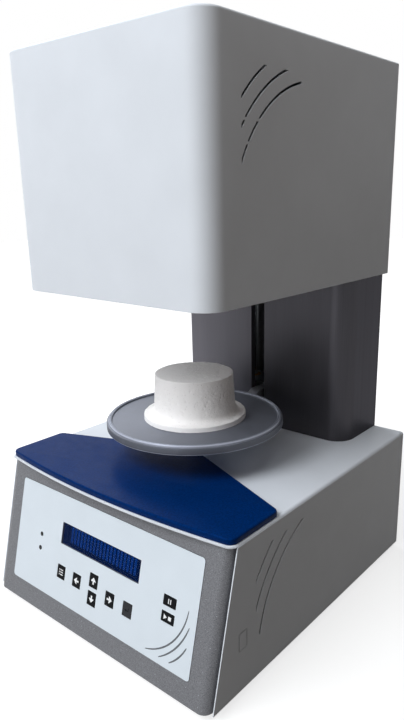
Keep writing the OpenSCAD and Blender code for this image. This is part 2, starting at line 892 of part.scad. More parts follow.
module lift_motor() color([0.2, 0.2, 0.22]) translate([0, y_screw, 0]) difference() {
    union() {
        up_z(z_motor - motor_h, z_motor) round_rect(motor_w, motor_w, motor_r);
        for (x = [-1, 1], y = [-1, 1]) up_z(z_motor - past, z_top - sheet_t)
            translate([x, y] * (motor_w / 2 - pillar_r - pillar_edge)) circle(pillar_r);
    }
    up_z(z_motor - motor_bore, z_motor + past) circle(shaft_r + run_gap);
}

module carriage() color([0.72, 0.72, 0.74]) difference() {
    up_z(z_carriage, z_carriage + carriage_h) translate([0, y_screw])
        round_rect(carriage_w, carriage_d, carriage_r);
    up_z(z_carriage - past, z_carriage + carriage_h + past) {
        for (x = [-1, 1]) translate([x * rod_x, y_screw]) circle(rod_r + bush_wall + run_gap);
        translate([0, y_screw]) circle(nut_r + run_gap);
    }
}

module lift_nut() color([0.75, 0.6, 0.3]) translate([0, y_screw, 0]) difference() {
    union() {
        up_z(z_carriage, z_carriage + carriage_h) circle(nut_r);
        up_z(z_carriage - nut_flange_t, z_carriage) circle(nut_flange_r);
    }
    up_z(z_carriage - nut_flange_t - past, z_carriage + carriage_h + past)
        circle(screw_r + run_gap);
}

module guide_bushes() color([0.7, 0.55, 0.3])
    for (x = [-1, 1]) up_z(z_carriage, z_carriage + carriage_h)
        translate([x * rod_x, y_screw]) difference() {
            circle(rod_r + bush_wall);
            circle(rod_r + run_gap);
        }

module lift_arm() color([0.62, 0.63, 0.65]) {
    y_root = y_carriage - arm_root_t;
    rim_y = y_platform + platform_r;
    difference() {
        union() {
            up_z(z_carriage, z_carriage + carriage_h) translate([-arm_root_w / 2, y_root])
                square([arm_root_w, arm_root_t]);
            along_x(arm_w) polygon([
                [y_platform, z_platform - arm_tip_drop],
                [y_column, z_platform - arm_drop],
                [y_root + past, z_platform - arm_drop],
                [y_root + past, z_platform + platform_t],
                [y_column - arm_shoulder, z_platform + platform_t],
                [rim_y + arm_rim_gap, z_platform + arm_nose],
                [rim_y + arm_rim_gap, z_platform],
                [y_platform, z_platform]
            ]);
            up_z(z_platform - arm_tip_drop, z_platform) translate([0, y_platform])
                circle(arm_boss_r);
        }
        up_z(z_platform - arm_tip_drop - past, z_platform + past)
            boss_screw_places() circle(boss_screw_r + 0.2, $fn = 24);
    }
}

module boss_screw_places() {
    for (a = [30, 150, 270]) translate([0, y_platform]) rotate(a) translate([boss_screw_ring, 0])
        children();
}

module platform_screws() color([0.5, 0.5, 0.52]) {
    up_z(z_platform - arm_tip_drop - 3, z_platform - arm_tip_drop)
        boss_screw_places() circle(2 * boss_screw_r - 0.5, $fn = 24);
    up_z(z_platform - arm_tip_drop - past, z_platform + platform_t / 2 - 0.5)
        boss_screw_places() circle(boss_screw_r, $fn = 24);
}

module platform() color([0.53, 0.55, 0.59]) difference() {
    bead_out = platform_r - bead_edge;
    bead_in = bead_out - bead_w;
    dish = platform_t - platform_dish;
    shoulder = platform_t - bead_step;
    translate([0, y_platform, z_platform]) rotate_extrude($fn = 128) polygon(rounded(
        [
            [0, 0], [platform_r, 0], [platform_r, shoulder], [bead_out, shoulder],
            [bead_out - bead_slant, platform_t], [bead_in + bead_slant, platform_t],
            [bead_in, dish], [0, dish]
        ],
        [0, rim_round, rim_round, 0, bead_round, bead_round, 0, 0]
    ));
    up_z(z_platform - past, z_platform + platform_t / 2)
        boss_screw_places() circle(boss_screw_r + 0.2, $fn = 24);
}

module firing_plug() color([0.94, 0.94, 0.93])
    translate([0, y_platform, z_dish]) rotate_extrude($fn = 96) difference() {
        polygon(rounded(
            [
                [0, 0], [flange_r, 0], [flange_r, flange_t], [plug_foot_r + plug_fillet, flange_t],
                [plug_foot_r, flange_t + plug_fillet], [plug_r, plug_h], [0, plug_h]
            ],
            [0, flange_round / 2, flange_round, 0, 0, plug_round, 0]
        ));
        translate([plug_foot_r + plug_fillet, flange_t + plug_fillet]) circle(plug_fillet);
    }

// Chamber

module platform_seal() color([0.55, 0.2, 0.15])
    up_z(z_hood - seal_stand, z_hood + groove_depth) translate([0, y_platform]) difference() {
        circle(bead_mid + seal_w / 2, $fn = 128);
        circle(bead_mid - seal_w / 2, $fn = 128);
    }

module hood_floor() color([0.75, 0.76, 0.78]) {
    y_end = y_hood_back - rear_rim - fit_gap;
    difference() {
        up_z(z_hood, z_chamber)
            front_round(hood_w, y_hood_front, y_end, hood_corner_r, sheet_t + fit_gap);
        up_z(z_hood - past, z_chamber + past) {
            translate([0, y_platform]) circle(mouth_r, $fn = 96);
            translate([-mast_w / 2 - mast_hole_gap, y_back - mast_back - mast_d - mast_hole_front])
                square([mast_w + 2 * mast_hole_gap, mast_d + mast_hole_front + mast_hole_gap]);
        }
        up_z(z_hood - past, z_hood + groove_depth) translate([0, y_platform]) difference() {
            circle(bead_mid + seal_w / 2 + fit_gap, $fn = 128);
            circle(bead_mid - seal_w / 2 - fit_gap, $fn = 128);
        }
    }
}

// Quarter section with a round upper corner, from a wall at x = 0 inwards
module bent_edge(d, h, r) {
    square([d, h - r]);
    translate([r, 0]) square([d - r, h]);
    translate([r, h - r]) circle(r);
}

// Block with round front corners, all of whose top edges are bent over at one radius
module hood_block(inset, z0, y1) {
    r = hood_corner_r - inset;
    bend = hood_bend_r - inset;
    h = z_roof - inset - z0;
    y_turn = y_hood_front + hood_corner_r;
    x_turn = hood_w / 2 - hood_corner_r;
    along_y(y_turn, y1) translate([0, z0]) arch(hood_w - 2 * inset, h, bend);
    along_x(2 * x_turn) translate([y_hood_front + inset, z0]) bent_edge(r + past, h, bend);
    for (x = [-1, 1]) translate([x * x_turn, y_turn, z0])
        rotate_extrude() translate([r, 0]) mirror([1, 0]) bent_edge(r, h, bend);
}

module hood_shell() color([0.87, 0.89, 0.93]) {
    y_end = y_hood_back - rear_rim;
    difference() {
        hood_block(0, z_hood, y_end);
        hood_block(sheet_t, z_hood - past, y_end + past);
        along_x(hood_w + 2 * past)
            translate([y_hood_front + hood_vent[0], z_roof - hood_vent[1]]) difference() {
                vent_slots(hood_field);
                for (z = hood_webs) translate([hood_field[0] - past, z - web_h / 2])
                    square([vent_r, web_h]);
            }
    }
}

module hood_rear_cover() color([0.84, 0.86, 0.9]) difference() {
    translate([0, y_hood_back, z_hood]) rear_tray(hood_w, hood_h, hood_bend_r);
    along_y(y_hood_back - sheet_t - past, y_hood_back + past) {
        for (z = hood_louvres_at) translate([0, z_hood + z * hood_h]) louvres(6, 130);
        for (p = hood_screw_places) translate([p[0], z_hood + p[1]]) circle(screw_shank + 0.1);
    }
}

module muffle_casing() color([0.6, 0.6, 0.6]) {
    r_in = insulation_r + fit_gap;
    r_out = r_in + casing_t;
    z_lid = z_muffle + muffle_h + roof_t + fit_gap;
    translate([0, y_platform, 0]) difference() {
        union() {
            up_z(z_chamber, z_lid + casing_t) circle(r_out, $fn = 96);
            up_z(z_chamber, z_chamber + casing_t) circle(r_out + casing_flange, $fn = 96);
        }
        up_z(z_chamber - past, z_lid) circle(r_in, $fn = 96);
        up_z(z_chamber, z_lid + 2 * past + casing_t) circle(probe_r + fit_gap);
    }
}

module insulation_ring() color([0.9, 0.88, 0.84])
    translate([0, y_platform, 0]) rotate_extrude($fn = 96) polygon([
        [mouth_r, z_chamber], [insulation_r, z_chamber], [insulation_r, z_muffle + muffle_h],
        [muffle_r + muffle_wall + fit_gap, z_muffle + muffle_h],
        [muffle_r + muffle_wall + fit_gap, z_muffle], [ledge_r, z_muffle],
        [ledge_r, z_ledge], [mouth_r, z_ledge]
    ]);

module insulation_roof() color([0.9, 0.88, 0.84])
    up_z(z_muffle + muffle_h, z_muffle + muffle_h + roof_t) translate([0, y_platform])
        difference() {
            circle(insulation_r, $fn = 96);
            circle(probe_r + fit_gap);
        }

module heating_muffle() color([0.95, 0.9, 0.8])
    up_z(z_muffle, z_muffle + muffle_h) translate([0, y_platform]) difference() {
        circle(muffle_r + muffle_wall, $fn = 96);
        circle(muffle_r, $fn = 96);
    }

module thermocouple() color([0.9, 0.9, 0.86]) {
    z_lid = z_muffle + muffle_h + roof_t + fit_gap + casing_t;
    translate([0, y_platform, 0]) {
        up_z(z_muffle + muffle_h - probe_drop, z_lid + past) circle(probe_r);
        up_z(z_lid, z_lid + probe_head[2]) round_rect(probe_head[0], probe_head[1], probe_head_r);
    }
}

// Inside the base

module control_board() color([0.1, 0.35, 0.2])
    translate([board_place[0], y_foot + board_place[1], z_base + sheet_t]) {
        up_z(board_lift, board_lift + board_t) square(board_size, center = true);
        for (x = [-1, 1], y = [-1, 1]) up_z(0, board_lift + board_t / 2)
            translate([x * board_post[0], y * board_post[1]]) circle(board_post_r, $fn = 24);
        up_z(board_lift + board_t / 2, board_lift + board_t + heat_sink[2])
            square([heat_sink[0], heat_sink[1]], center = true);
    }

module transformer() color([0.35, 0.3, 0.25])
    translate([transformer_place[0], y_foot + transformer_place[1], z_base + sheet_t]) {
        up_z(0, transformer_foot[2])
            square([transformer_foot[0], transformer_foot[1]], center = true);
        up_z(0, transformer_core[2])
            square([transformer_core[0], transformer_core[1]], center = true);
        up_z(transformer_coil_up, transformer_coil_up + transformer_coil[2])
            round_rect(transformer_coil[0], transformer_coil[1], transformer_coil_r);
    }

// Rear fittings

module mains_inlet() color([0.1, 0.1, 0.11])
    translate([inlet_x, y_back, z_base + fitting_z]) {
        w = socket_half[0];
        h = socket_half[1];
        difference() {
            union() {
                along_y(0, inlet_flange_t) round_rect(inlet_w, inlet_h, inlet_r);
                along_y(-inlet_deep, past) square(inlet_body, center = true);
            }
            along_y(-inlet_deep - past, 0) inlet_pin_places() square(pin_size, center = true);
            along_y(-socket_deep, inlet_flange_t + past) polygon([
                [-w, -h], [w, -h], [w, h - socket_slant], [w - socket_slant, h],
                [socket_slant - w, h], [-w, h - socket_slant]
            ]);
        }
    }

module inlet_pin_places() {
    for (x = [-1, 0, 1]) translate([x * pin_spacing, (1 - 2 * abs(x)) * pin_offset]) children();
}

module inlet_pins() color([0.75, 0.72, 0.6])
    translate([inlet_x, y_back, z_base + fitting_z])
        along_y(-inlet_deep - pin_tail, inlet_flange_t - pin_short)
            inlet_pin_places() square(pin_size, center = true);

module mains_switch() color([0.1, 0.1, 0.11])
    translate([switch_x, y_back, z_base + fitting_z]) difference() {
        union() {
            along_y(0, switch_flange_t) round_rect(switch_w, switch_h, switch_r);
            along_y(-switch_deep, past) square(switch_body, center = true);
        }
        along_y(-rocker_pit, switch_flange_t + past)
            square([rocker_w + 2 * fit_gap, 2 * (rocker_half + rocker_swing)], center = true);
        translate([0, rocker_y, 0]) along_x(rocker_w + 4 * past)
            circle(rocker_pin_r + run_gap, $fn = 24);
    }

module mains_rocker() color([0.75, 0.1, 0.08])
    translate([switch_x, y_back + rocker_y, z_base + fitting_z]) {
        rotate([-rocker_tilt, 0, 0]) along_x(rocker_w) polygon([
            [-rocker_back[0], -rocker_back[1]], [rocker_edge[0], -rocker_half],
            [rocker_edge[1], -rocker_half], [rocker_waist, 0], [rocker_edge[1], rocker_half],
            [rocker_edge[0], rocker_half], [-rocker_back[0], rocker_back[1]]
        ]);
        along_x(rocker_w + 3 * past) circle(rocker_pin_r, $fn = 24);
    }

module fuse_holder() color([0.1, 0.1, 0.11])
    translate([fuse_x, y_back, z_base + fitting_z]) {
        along_y(-fuse_deep, past) circle(fuse_r, $fn = 48);
        along_y(0, fuse_flange_t) circle(fuse_r + fuse_flange, $fn = 48);
        difference() {
            along_y(past, fuse_cap) circle(fuse_r, $fn = 48);
            along_y(fuse_cap - fuse_slot, fuse_cap + past)
                square([fuse_slot, 2 * fuse_r + past], center = true);
        }
    }

module vacuum_nipple() color([0.8, 0.65, 0.35])
    translate([nipple_x, y_back, z_base + fitting_z]) difference() {
        union() {
            along_y(-nipple_deep, past) circle(nipple_r + nipple_wall);
            along_y(0, nipple_hex_t) circle(nipple_r + nipple_hex, $fn = 6);
            along_y(past, nipple_len) circle(nipple_r);
        }
        along_y(-nipple_deep - past, nipple_len + past) circle(nipple_r / 2);
    }

module cover_screw(y, z, places) {
    for (p = places) translate([p[0], y, z + p[1]]) {
        along_y(0, screw_head_t) circle(screw_head, $fn = 24);
        along_y(-sheet_t, past) circle(screw_shank, $fn = 24);
    }
}

module cover_screws() color([0.6, 0.6, 0.62]) {
    cover_screw(y_back, z_base, base_screw_places);
    cover_screw(y_back, z_top, column_screw_places);
    cover_screw(y_hood_back, z_hood, hood_screw_places);
}

base_housing();
base_floor();
base_rear_cover();
feet();
fascia();
control_label();
display_module();
display_window();
indicator_lamps();
key_board();
key_program();
key_left();
key_up();
key_down();
key_right();
key_enter();
key_pause();
key_start_stop();
work_plate();
column_cover();
column_back();
mast();
lower_bearing_plate();
upper_bearing_plate();
guide_rods();
screw_bearings();
lead_screw();
motor_coupling();
motor_shaft();
lift_motor();
carriage();
lift_nut();
guide_bushes();
lift_arm();
platform_screws();
platform();
firing_plug();
platform_seal();
hood_shell();
hood_floor();
hood_rear_cover();
muffle_casing();
insulation_ring();
insulation_roof();
heating_muffle();
thermocouple();
control_board();
transformer();
mains_inlet();
inlet_pins();
mains_switch();
mains_rocker();
fuse_holder();
vacuum_nipple();
cover_screws();
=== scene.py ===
"""Looks of a benchtop firing furnace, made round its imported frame."""

import json
import math

import bmesh
import bpy
import numpy as np
from mathutils import Matrix, Vector

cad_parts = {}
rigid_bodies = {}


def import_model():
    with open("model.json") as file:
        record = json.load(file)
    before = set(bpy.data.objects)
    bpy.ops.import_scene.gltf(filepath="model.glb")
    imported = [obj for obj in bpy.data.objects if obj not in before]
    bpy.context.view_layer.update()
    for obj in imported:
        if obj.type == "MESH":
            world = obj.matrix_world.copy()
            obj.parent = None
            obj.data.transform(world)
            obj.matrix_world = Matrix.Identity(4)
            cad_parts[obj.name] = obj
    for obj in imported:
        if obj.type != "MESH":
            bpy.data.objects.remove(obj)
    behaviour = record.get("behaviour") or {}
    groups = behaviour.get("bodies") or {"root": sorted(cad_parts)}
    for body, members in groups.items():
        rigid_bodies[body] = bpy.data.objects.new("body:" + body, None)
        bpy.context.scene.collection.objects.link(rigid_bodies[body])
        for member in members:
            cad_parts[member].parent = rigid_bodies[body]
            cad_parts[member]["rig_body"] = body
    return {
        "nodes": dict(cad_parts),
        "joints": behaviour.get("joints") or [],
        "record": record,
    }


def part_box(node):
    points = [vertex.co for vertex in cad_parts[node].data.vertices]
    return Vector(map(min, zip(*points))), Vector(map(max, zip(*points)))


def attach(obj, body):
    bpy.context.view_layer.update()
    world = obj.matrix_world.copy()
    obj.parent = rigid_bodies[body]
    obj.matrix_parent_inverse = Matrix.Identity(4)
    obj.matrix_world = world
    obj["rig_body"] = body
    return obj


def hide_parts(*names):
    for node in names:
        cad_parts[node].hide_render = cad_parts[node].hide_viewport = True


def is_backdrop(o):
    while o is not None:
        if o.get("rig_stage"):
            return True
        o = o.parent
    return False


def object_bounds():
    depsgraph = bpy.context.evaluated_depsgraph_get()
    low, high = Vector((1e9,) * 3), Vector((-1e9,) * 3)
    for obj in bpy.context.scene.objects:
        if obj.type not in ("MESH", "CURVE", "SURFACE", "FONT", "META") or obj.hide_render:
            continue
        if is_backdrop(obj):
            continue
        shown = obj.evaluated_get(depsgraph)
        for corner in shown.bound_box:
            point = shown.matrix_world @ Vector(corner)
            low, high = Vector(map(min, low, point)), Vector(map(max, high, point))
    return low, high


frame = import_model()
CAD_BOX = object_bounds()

bl_info = {
    "name": "Firing furnace",
    "version": (1, 0, 0),
    "blender": (4, 5, 0),
    "location": "View3D > Sidebar > Furnace",
    "description": "Dresses a benchtop firing furnace with its finishes and fine pieces",
    "category": "Object",
}

MM = 0.001
SLOTS = {part["node"]: part["material_slot"] for part in frame["record"]["subparts"]}
JOINTS = {joint["name"]: joint for joint in frame["joints"]}


# Sizes and colours that a user may change


def linear(red, green, blue):
    """A colour as the renderer counts it, from its screen values of 0 to 255."""
    values = np.array([red, green, blue]) / 255
    low, high = values / 12.92, ((values + 0.055) / 1.055) ** 2.4
    return tuple(float(v) for v in np.where(values < 0.04045, low, high))


def shade(base, share):
    """A share of a colour, kept within the range of colours."""
    return tuple(min(1, share * c) for c in base)


def length(name, description, millimetres):
    """A length that is kept in metres and written here in millimetres."""
    return bpy.props.FloatProperty(
        name=name, description=description, default=millimetres * MM,
        min=0, unit="LENGTH", subtype="DISTANCE", precision=5,
    )


def colour(name, description, *screen):
    """A paint or other colour, written here as it looks on a screen."""
    return bpy.props.FloatVectorProperty(
        name=name, description=description, default=linear(*screen),
        min=0, max=1, size=3, subtype="COLOR",
    )


class FurnaceColours(bpy.types.PropertyGroup):
    """Colours of the finishes."""

    hood: colour("Hood", "Powder coat of the hood", 226, 231, 238)
    base: colour("Base", "Powder coat of the base", 224, 229, 236)
    panel: colour("Panel", "Textured moulding of the control panel", 104, 105, 109)
    film: colour("Film", "Printed film on the control panel", 219, 228, 236)
    print_grey: colour("Print", "Grey of the printed arcs", 98, 102, 107)
    key: colour("Key", "Ground of the keys", 13, 14, 17)
    mark: colour("Mark", "Pictograms on the keys", 240, 242, 244)
    plate: colour("Work plate", "Enamel of the work plate", 0, 38, 92)
    column: colour("Column", "Brushed steel of the column", 64, 63, 67)
    platform: colour("Platform", "Anodised face of the platform", 122, 126, 137)
    fibre: colour("Fibre", "Ceramic fibre of the plug", 255, 253, 252)
    display: colour("Display", "Unlit ground of the display", 1, 17, 50)
    dots: colour("Dots", "Dots of the display's characters", 3, 52, 124)


class FurnaceSizes(bpy.types.PropertyGroup):
    """Sizes of the pieces that the frame doesn't give."""

    edge_round: length("Edge round", "Rounding along the edges of sheet and mouldings", 0.5)
    lip_bow: length("Lip bow", "How far the front lip bows out", 14)
    plate_corner: length("Plate corner", "Radius of the work plate's corners", 8)
    plate_point: length("Plate point", "Radius at the work plate's rear point", 60)
    plate_side: length("Plate side", "Length of the work plate's straight sides", 72)
    plate_round: length("Plate round", "Rounding along the work plate's upper edge", 2.0)
    arc_width: length("Arc width", "Width of the printed arcs", 1.9)
    print_lift: length("Print lift", "Thickness of what is printed on the panel", 0.08)
    thread_lead: length("Thread lead", "Rise of the lead screw in one turn", 10)
    thread_depth: length("Thread depth", "Depth of the lead screw's thread", 1.3)
    coil_pitch: length("Coil pitch", "Rise of the heating coil in one turn", 7)
    coil_wire: length("Coil wire", "Radius of the heating wire", 0.9)
    pit_size: length("Pit size", "Radius of the larger pits in the plug", 1.5)
    character_pitch: length("Character pitch", "Spacing of the display's characters", 5.9)
    dot_pitch: length("Dot pitch", "Spacing of the dots in a character", 0.74)


# Surfaces as whole arrays


def neighbours(points, closed):
    """Each point's neighbour before and after it, at an open end the point itself."""
    before, after = np.roll(points, 1, 0), np.roll(points, -1, 0)
    if not closed:
        before[0], after[-1] = points[0], points[-1]
    return before, after


def rounded(corners, radii, steps=8, closed=True):
    """Outline of straight runs with round corners. At each corner a circle's arc runs from the
    point one tangent length before it to the point one tangent length after it, where the
    tangent length is the radius times the tangent of half the turn."""
    corners = np.asarray(corners, float)
    t = np.linspace(0, 1, steps + 1)[:, None]
    out = []
    for corner, before, after, r in zip(corners, *neighbours(corners, closed), radii):
        u, v = before - corner, after - corner
        reach = np.array([np.linalg.norm(u), np.linalg.norm(v)])
        if r <= 0 or reach.min() < 1e-9:
            out.append(corner[None])
            continue
        u, v = u / reach[0], v / reach[1]
        turn = math.pi - math.acos(float(np.clip(u @ v, -1, 1)))
        r = min(r * math.tan(turn / 2), 0.5 * reach.min()) / math.tan(turn / 2)
        middle = corner + (u + v) / np.linalg.norm(u + v) * (r / math.cos(turn / 2))
        axis = (corner - middle) / np.linalg.norm(corner - middle)
        side = np.array([-axis[1], axis[0]])
        if side @ v < 0:
            side = -side
        angle = turn * (t - 0.5)
        out.append(middle + r * (np.cos(angle) * axis + np.sin(angle) * side))
    return np.concatenate(out)


def spread(line, count, closed=False):
    """The line again, as points at even steps along its length."""
    if closed:
        line = np.concatenate([line, line[:1]])
    along = np.concatenate([[0], np.cumsum(np.linalg.norm(np.diff(line, axis=0), axis=1))])
    steps = np.linspace(0, along[-1], count, endpoint=not closed)
    return np.stack([np.interp(steps, along, line[:, k]) for k in range(2)], -1)


def left_normals(line, closed):
    """Unit normals to the left of a line, each square to the line between its neighbours."""
    before, after = neighbours(line, closed)
    along = after - before
    normal = np.stack([-along[:, 1], along[:, 0]], -1)
    return normal / np.maximum(np.linalg.norm(normal, axis=1, keepdims=True), 1e-12)


def lid(outline, profile):
    """Rings over a closed outline that runs to the left: ring k is the outline drawn in by the
    profile's first number and lifted to its second. Both ends close in the outline's middle."""
    normal = left_normals(outline, True)
    rings = [
        np.column_stack([outline + normal * inset, np.full(len(outline), level)])
        for inset, level in profile
    ]
    first, last = rings[0].copy(), rings[-1].copy()
    first[:, :2] = last[:, :2] = outline.mean(0)
    return np.stack([first, *rings, last])


def revolve(profile, middle, count=128):
    """Rings about an upright axis through a middle: the point at radius r and level h turns
    through angle t to r cos t and r sin t, at level h."""
    t = np.linspace(0, 2 * math.pi, count, endpoint=False)
    r, h = np.asarray(profile, float).T[..., None]
    return np.stack([r * np.cos(t), r * np.sin(t), h + 0 * t], -1) + np.asarray(middle, float)


def tube(path, radius, sides=8):
    """Rings of one radius along a path. Each ring stands square to the line between the
    path's points on both sides of it, and is turned from straight up."""
    before, after = neighbours(path, False)
    along = after - before
    along /= np.linalg.norm(along, axis=1, keepdims=True)
    across = np.cross(along, [0.0, 0.0, 1.0])
    across /= np.linalg.norm(across, axis=1, keepdims=True)
    up = np.cross(across, along)
    t = np.linspace(0, 2 * math.pi, sides, endpoint=False)[None, :, None]
    rings = path[:, None] + radius * (across[:, None] * np.cos(t) + up[:, None] * np.sin(t))
    ends = [np.broadcast_to(p, (1, sides, 3)) for p in (path[0], path[-1])]
    return np.concatenate([ends[0], rings, ends[1]])


def lattice_noise(points, size, seed, lattice=16):
    """Smooth noise from 0 to 1: random values on a cubic lattice of the given size, and
    between them the smoothstep of the place in the cell."""
    values = np.random.default_rng(seed).random((lattice,) * 3)
    place = points / size
    cell = np.floor(place).astype(int)
    f = place - cell
    f = f * f * (3 - 2 * f)
    total = np.zeros(points.shape[:-1])
    for corner in range(8):
        step = np.array([corner & 1, corner >> 1 & 1, corner >> 2 & 1])
        weight = np.prod(np.where(step, f, 1 - f), axis=-1)
        at = (cell + step) % lattice
        total += weight * values[at[..., 0], at[..., 1], at[..., 2]]
    return total


def grid_faces(rows, columns, close_rows, close_columns):
    """Four-sided faces between neighbouring rows and columns of a grid of points."""
    r, c = np.meshgrid(
        np.arange(rows if close_rows else rows - 1),
        np.arange(columns if close_columns else columns - 1), indexing="ij",
    )
    r, r2, c2 = r * columns, (r + 1) % rows * columns, (c + 1) % columns
    return np.stack([r + c, r + c2, r2 + c2, r2 + c], -1).reshape(-1, 4)


def cleaned(mesh):
    """Merges points that meet, so that seams and poles close, and turns faces outwards."""
    work = bmesh.new()
    work.from_mesh(mesh)
    bmesh.ops.remove_doubles(work, verts=work.verts, dist=1e-7)
    bmesh.ops.dissolve_degenerate(work, edges=work.edges, dist=1e-8)
    bmesh.ops.recalc_face_normals(work, faces=work.faces)
    work.to_mesh(mesh)
    work.free()


def add_piece(name, mesh, body, slot, replaces=None, finish=None, sharp=35):
    """Puts a mesh into the scene as a piece that rides on a body. It has the finish of its
    slot, unless another is named."""
    piece = bpy.data.objects.new(name, mesh)
    bpy.context.scene.collection.objects.link(piece)
    mesh.materials.clear()
    mesh.materials.append(finishes()[finish or slot])
    mesh.shade_smooth()
    mesh.set_sharp_from_angle(angle=math.radians(sharp))
    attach(piece, body)
    if replaces:
        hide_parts(replaces)
    return piece


def surface(name, grid, body, slot, replaces=None, finish=None, closes=(False, True), sharp=35):
    """A piece from one grid of points, or from several of one size laid together."""
    grid = grid.reshape((-1,) + grid.shape[-3:])
    count, rows, columns = grid.shape[:3]
    faces = grid_faces(rows, columns, *closes) + np.arange(count)[:, None, None] * rows * columns
    faces = faces.reshape(-1, 4).astype(np.int32)
    mesh = bpy.data.meshes.new(name)
    mesh.vertices.add(count * rows * columns)
    mesh.vertices.foreach_set("co", grid.astype(np.float32).ravel())
    mesh.loops.add(faces.size)
    mesh.loops.foreach_set("vertex_index", faces.ravel())
    mesh.polygons.add(len(faces))
    mesh.polygons.foreach_set("loop_start", np.arange(0, faces.size, 4, dtype=np.int32))
    mesh.update(calc_edges=True)
    cleaned(mesh)
    return add_piece(name, mesh, body, slot, replaces, finish, sharp)


def plates(name, outlines, low, high, lay, body, slot, finish):
    """Flat closed plates, one on each outline, from one level to another, laid by a function
    from across, along and level to the frame."""
    points, faces, start = [], [], 0
    for outline in outlines:
        count = len(outline)
        for level in (low, high):
            points.append(lay(np.column_stack([outline, np.full(count, level)])))
        ring = start + np.arange(count)
        after = np.roll(ring, -1)
        faces += [ring[::-1].tolist(), (ring + count).tolist()]
        faces += np.stack([ring, after, after + count, ring + count], -1).tolist()
        start += 2 * count
    mesh = bpy.data.meshes.new(name)
    mesh.from_pydata(np.concatenate(points).tolist(), [], faces)
    cleaned(mesh)
    return add_piece(name, mesh, body, slot, finish=finish, sharp=20)


def softened(node, width, sharp=30):
    """A copy of a frame node whose sharp edges are rounded, as sheet and mouldings have them."""
    source = frame["nodes"][node]
    mesh = source.data.copy()
    mesh.name = node + "_soft"
    if "custom_normal" in mesh.attributes:
        mesh.attributes.remove(mesh.attributes["custom_normal"])
    work = bmesh.new()
    work.from_mesh(mesh)
    bmesh.ops.remove_doubles(work, verts=work.verts, dist=2e-6)
    flat = math.radians(0.3)
    bmesh.ops.dissolve_limit(work, angle_limit=flat, verts=work.verts, edges=work.edges)
    work.to_mesh(mesh)
    work.free()
    piece = add_piece(node + "_soft", mesh, source["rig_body"], SLOTS[node], node, sharp=sharp)
    bevel = piece.modifiers.new("edges", "BEVEL")
    bevel.width = width
    bevel.segments = 2
    bevel.limit_method = "ANGLE"
    bevel.angle_limit = math.radians(sharp)
    bevel.use_clamp_overlap = False
    bevel.harden_normals = True
    bevel.miter_outer = "MITER_ARC"


# Places on the frame


def laid(origin, along, out):
    """Function that carries places across, along and out of a face to the frame."""
    def lay(points):
        x, y, z = (points[..., k:k + 1] for k in range(3))
        return origin + x * [1, 0, 0] + y * along + z * out

    return lay


def round_node(node):
    """Radius, foot, top and middle of a node that is round about an upright axis."""
    low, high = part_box(node)
    middle = np.array([(low.x + high.x) / 2, (low.y + high.y) / 2, 0])
    return (high.x - low.x) / 2, low.z, high.z, middle


LEAN = math.atan2(-JOINTS["key_up_press"]["axis"][2], JOINTS["key_up_press"]["axis"][1])
BASE_LOW, BASE_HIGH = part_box("base_housing")
UP_PANEL = np.array([0, math.sin(LEAN), math.cos(LEAN)])
OUT_PANEL = np.array([0, -math.cos(LEAN), math.sin(LEAN)])
PANEL_FOOT = np.array([0, BASE_LOW.y, BASE_LOW.z])
on_panel = laid(PANEL_FOOT, UP_PANEL, OUT_PANEL)

DISC_R, DISC_FOOT, DISC_TOP, DISC_MIDDLE = round_node("platform")


def panel_box(node):
    """Lowest and highest place of a node, measured across, up the slope and out."""
    data = frame["nodes"][node].data
    points = np.empty(len(data.vertices) * 3, np.float32)
    data.vertices.foreach_get("co", points)
    points = points.reshape(-1, 3) - PANEL_FOOT
    places = np.column_stack([points[:, 0], points @ UP_PANEL, points @ OUT_PANEL])
    return places.min(0), places.max(0)


# Finishes. Sizes here are in millimetres


class Nodes:
    """A node tree that is being made: each call adds one node and joins its inputs."""

    def __init__(self, tree):
        self.tree = tree

    def join(self, socket, value):
        """Joins a node's output to an input, or sets the input."""
        if isinstance(value, bpy.types.NodeSocket):
            self.tree.links.new(value, socket)
        elif socket.type == "RGBA" and len(value) == 3:
            socket.default_value = (*value, 1)
        else:
            socket.default_value = value

    def add(self, kind, inputs=(), **settings):
        """One node, with its settings and its inputs by name or number."""
        node = self.tree.nodes.new(kind)
        for key, value in settings.items():
            setattr(node, key, value)
        for key, value in dict(inputs).items():
            self.join(node.inputs[key], value)
        return node

    def between(self, value, low, high, to_low=0.0, to_high=1.0):
        """The value, carried from one range to another and kept within it."""
        inputs = {0: value, 1: low, 2: high, 3: to_low, 4: to_high}
        return self.add("ShaderNodeMapRange", inputs).outputs[0]

    def sums(self, first, second, operation="ADD"):
        """Two values added, or joined by another operation."""
        return self.add("ShaderNodeMath", {0: first, 1: second}, operation=operation).outputs[0]

    def mean(self, first, second):
        """The mean of two values."""
        return self.sums(self.sums(first, second), 0.5, "MULTIPLY")

    def ramp(self, value, *stops):
        """A colour by value, from stops of place and colour."""
        node = self.add("ShaderNodeValToRGB", {0: value})
        elements = node.color_ramp.elements
        while len(elements) < len(stops):
            elements.new(0.5)
        for element, (place, tone) in zip(elements, stops):
            element.position = place
            element.color = (*tone, 1)
        return node.outputs[0]


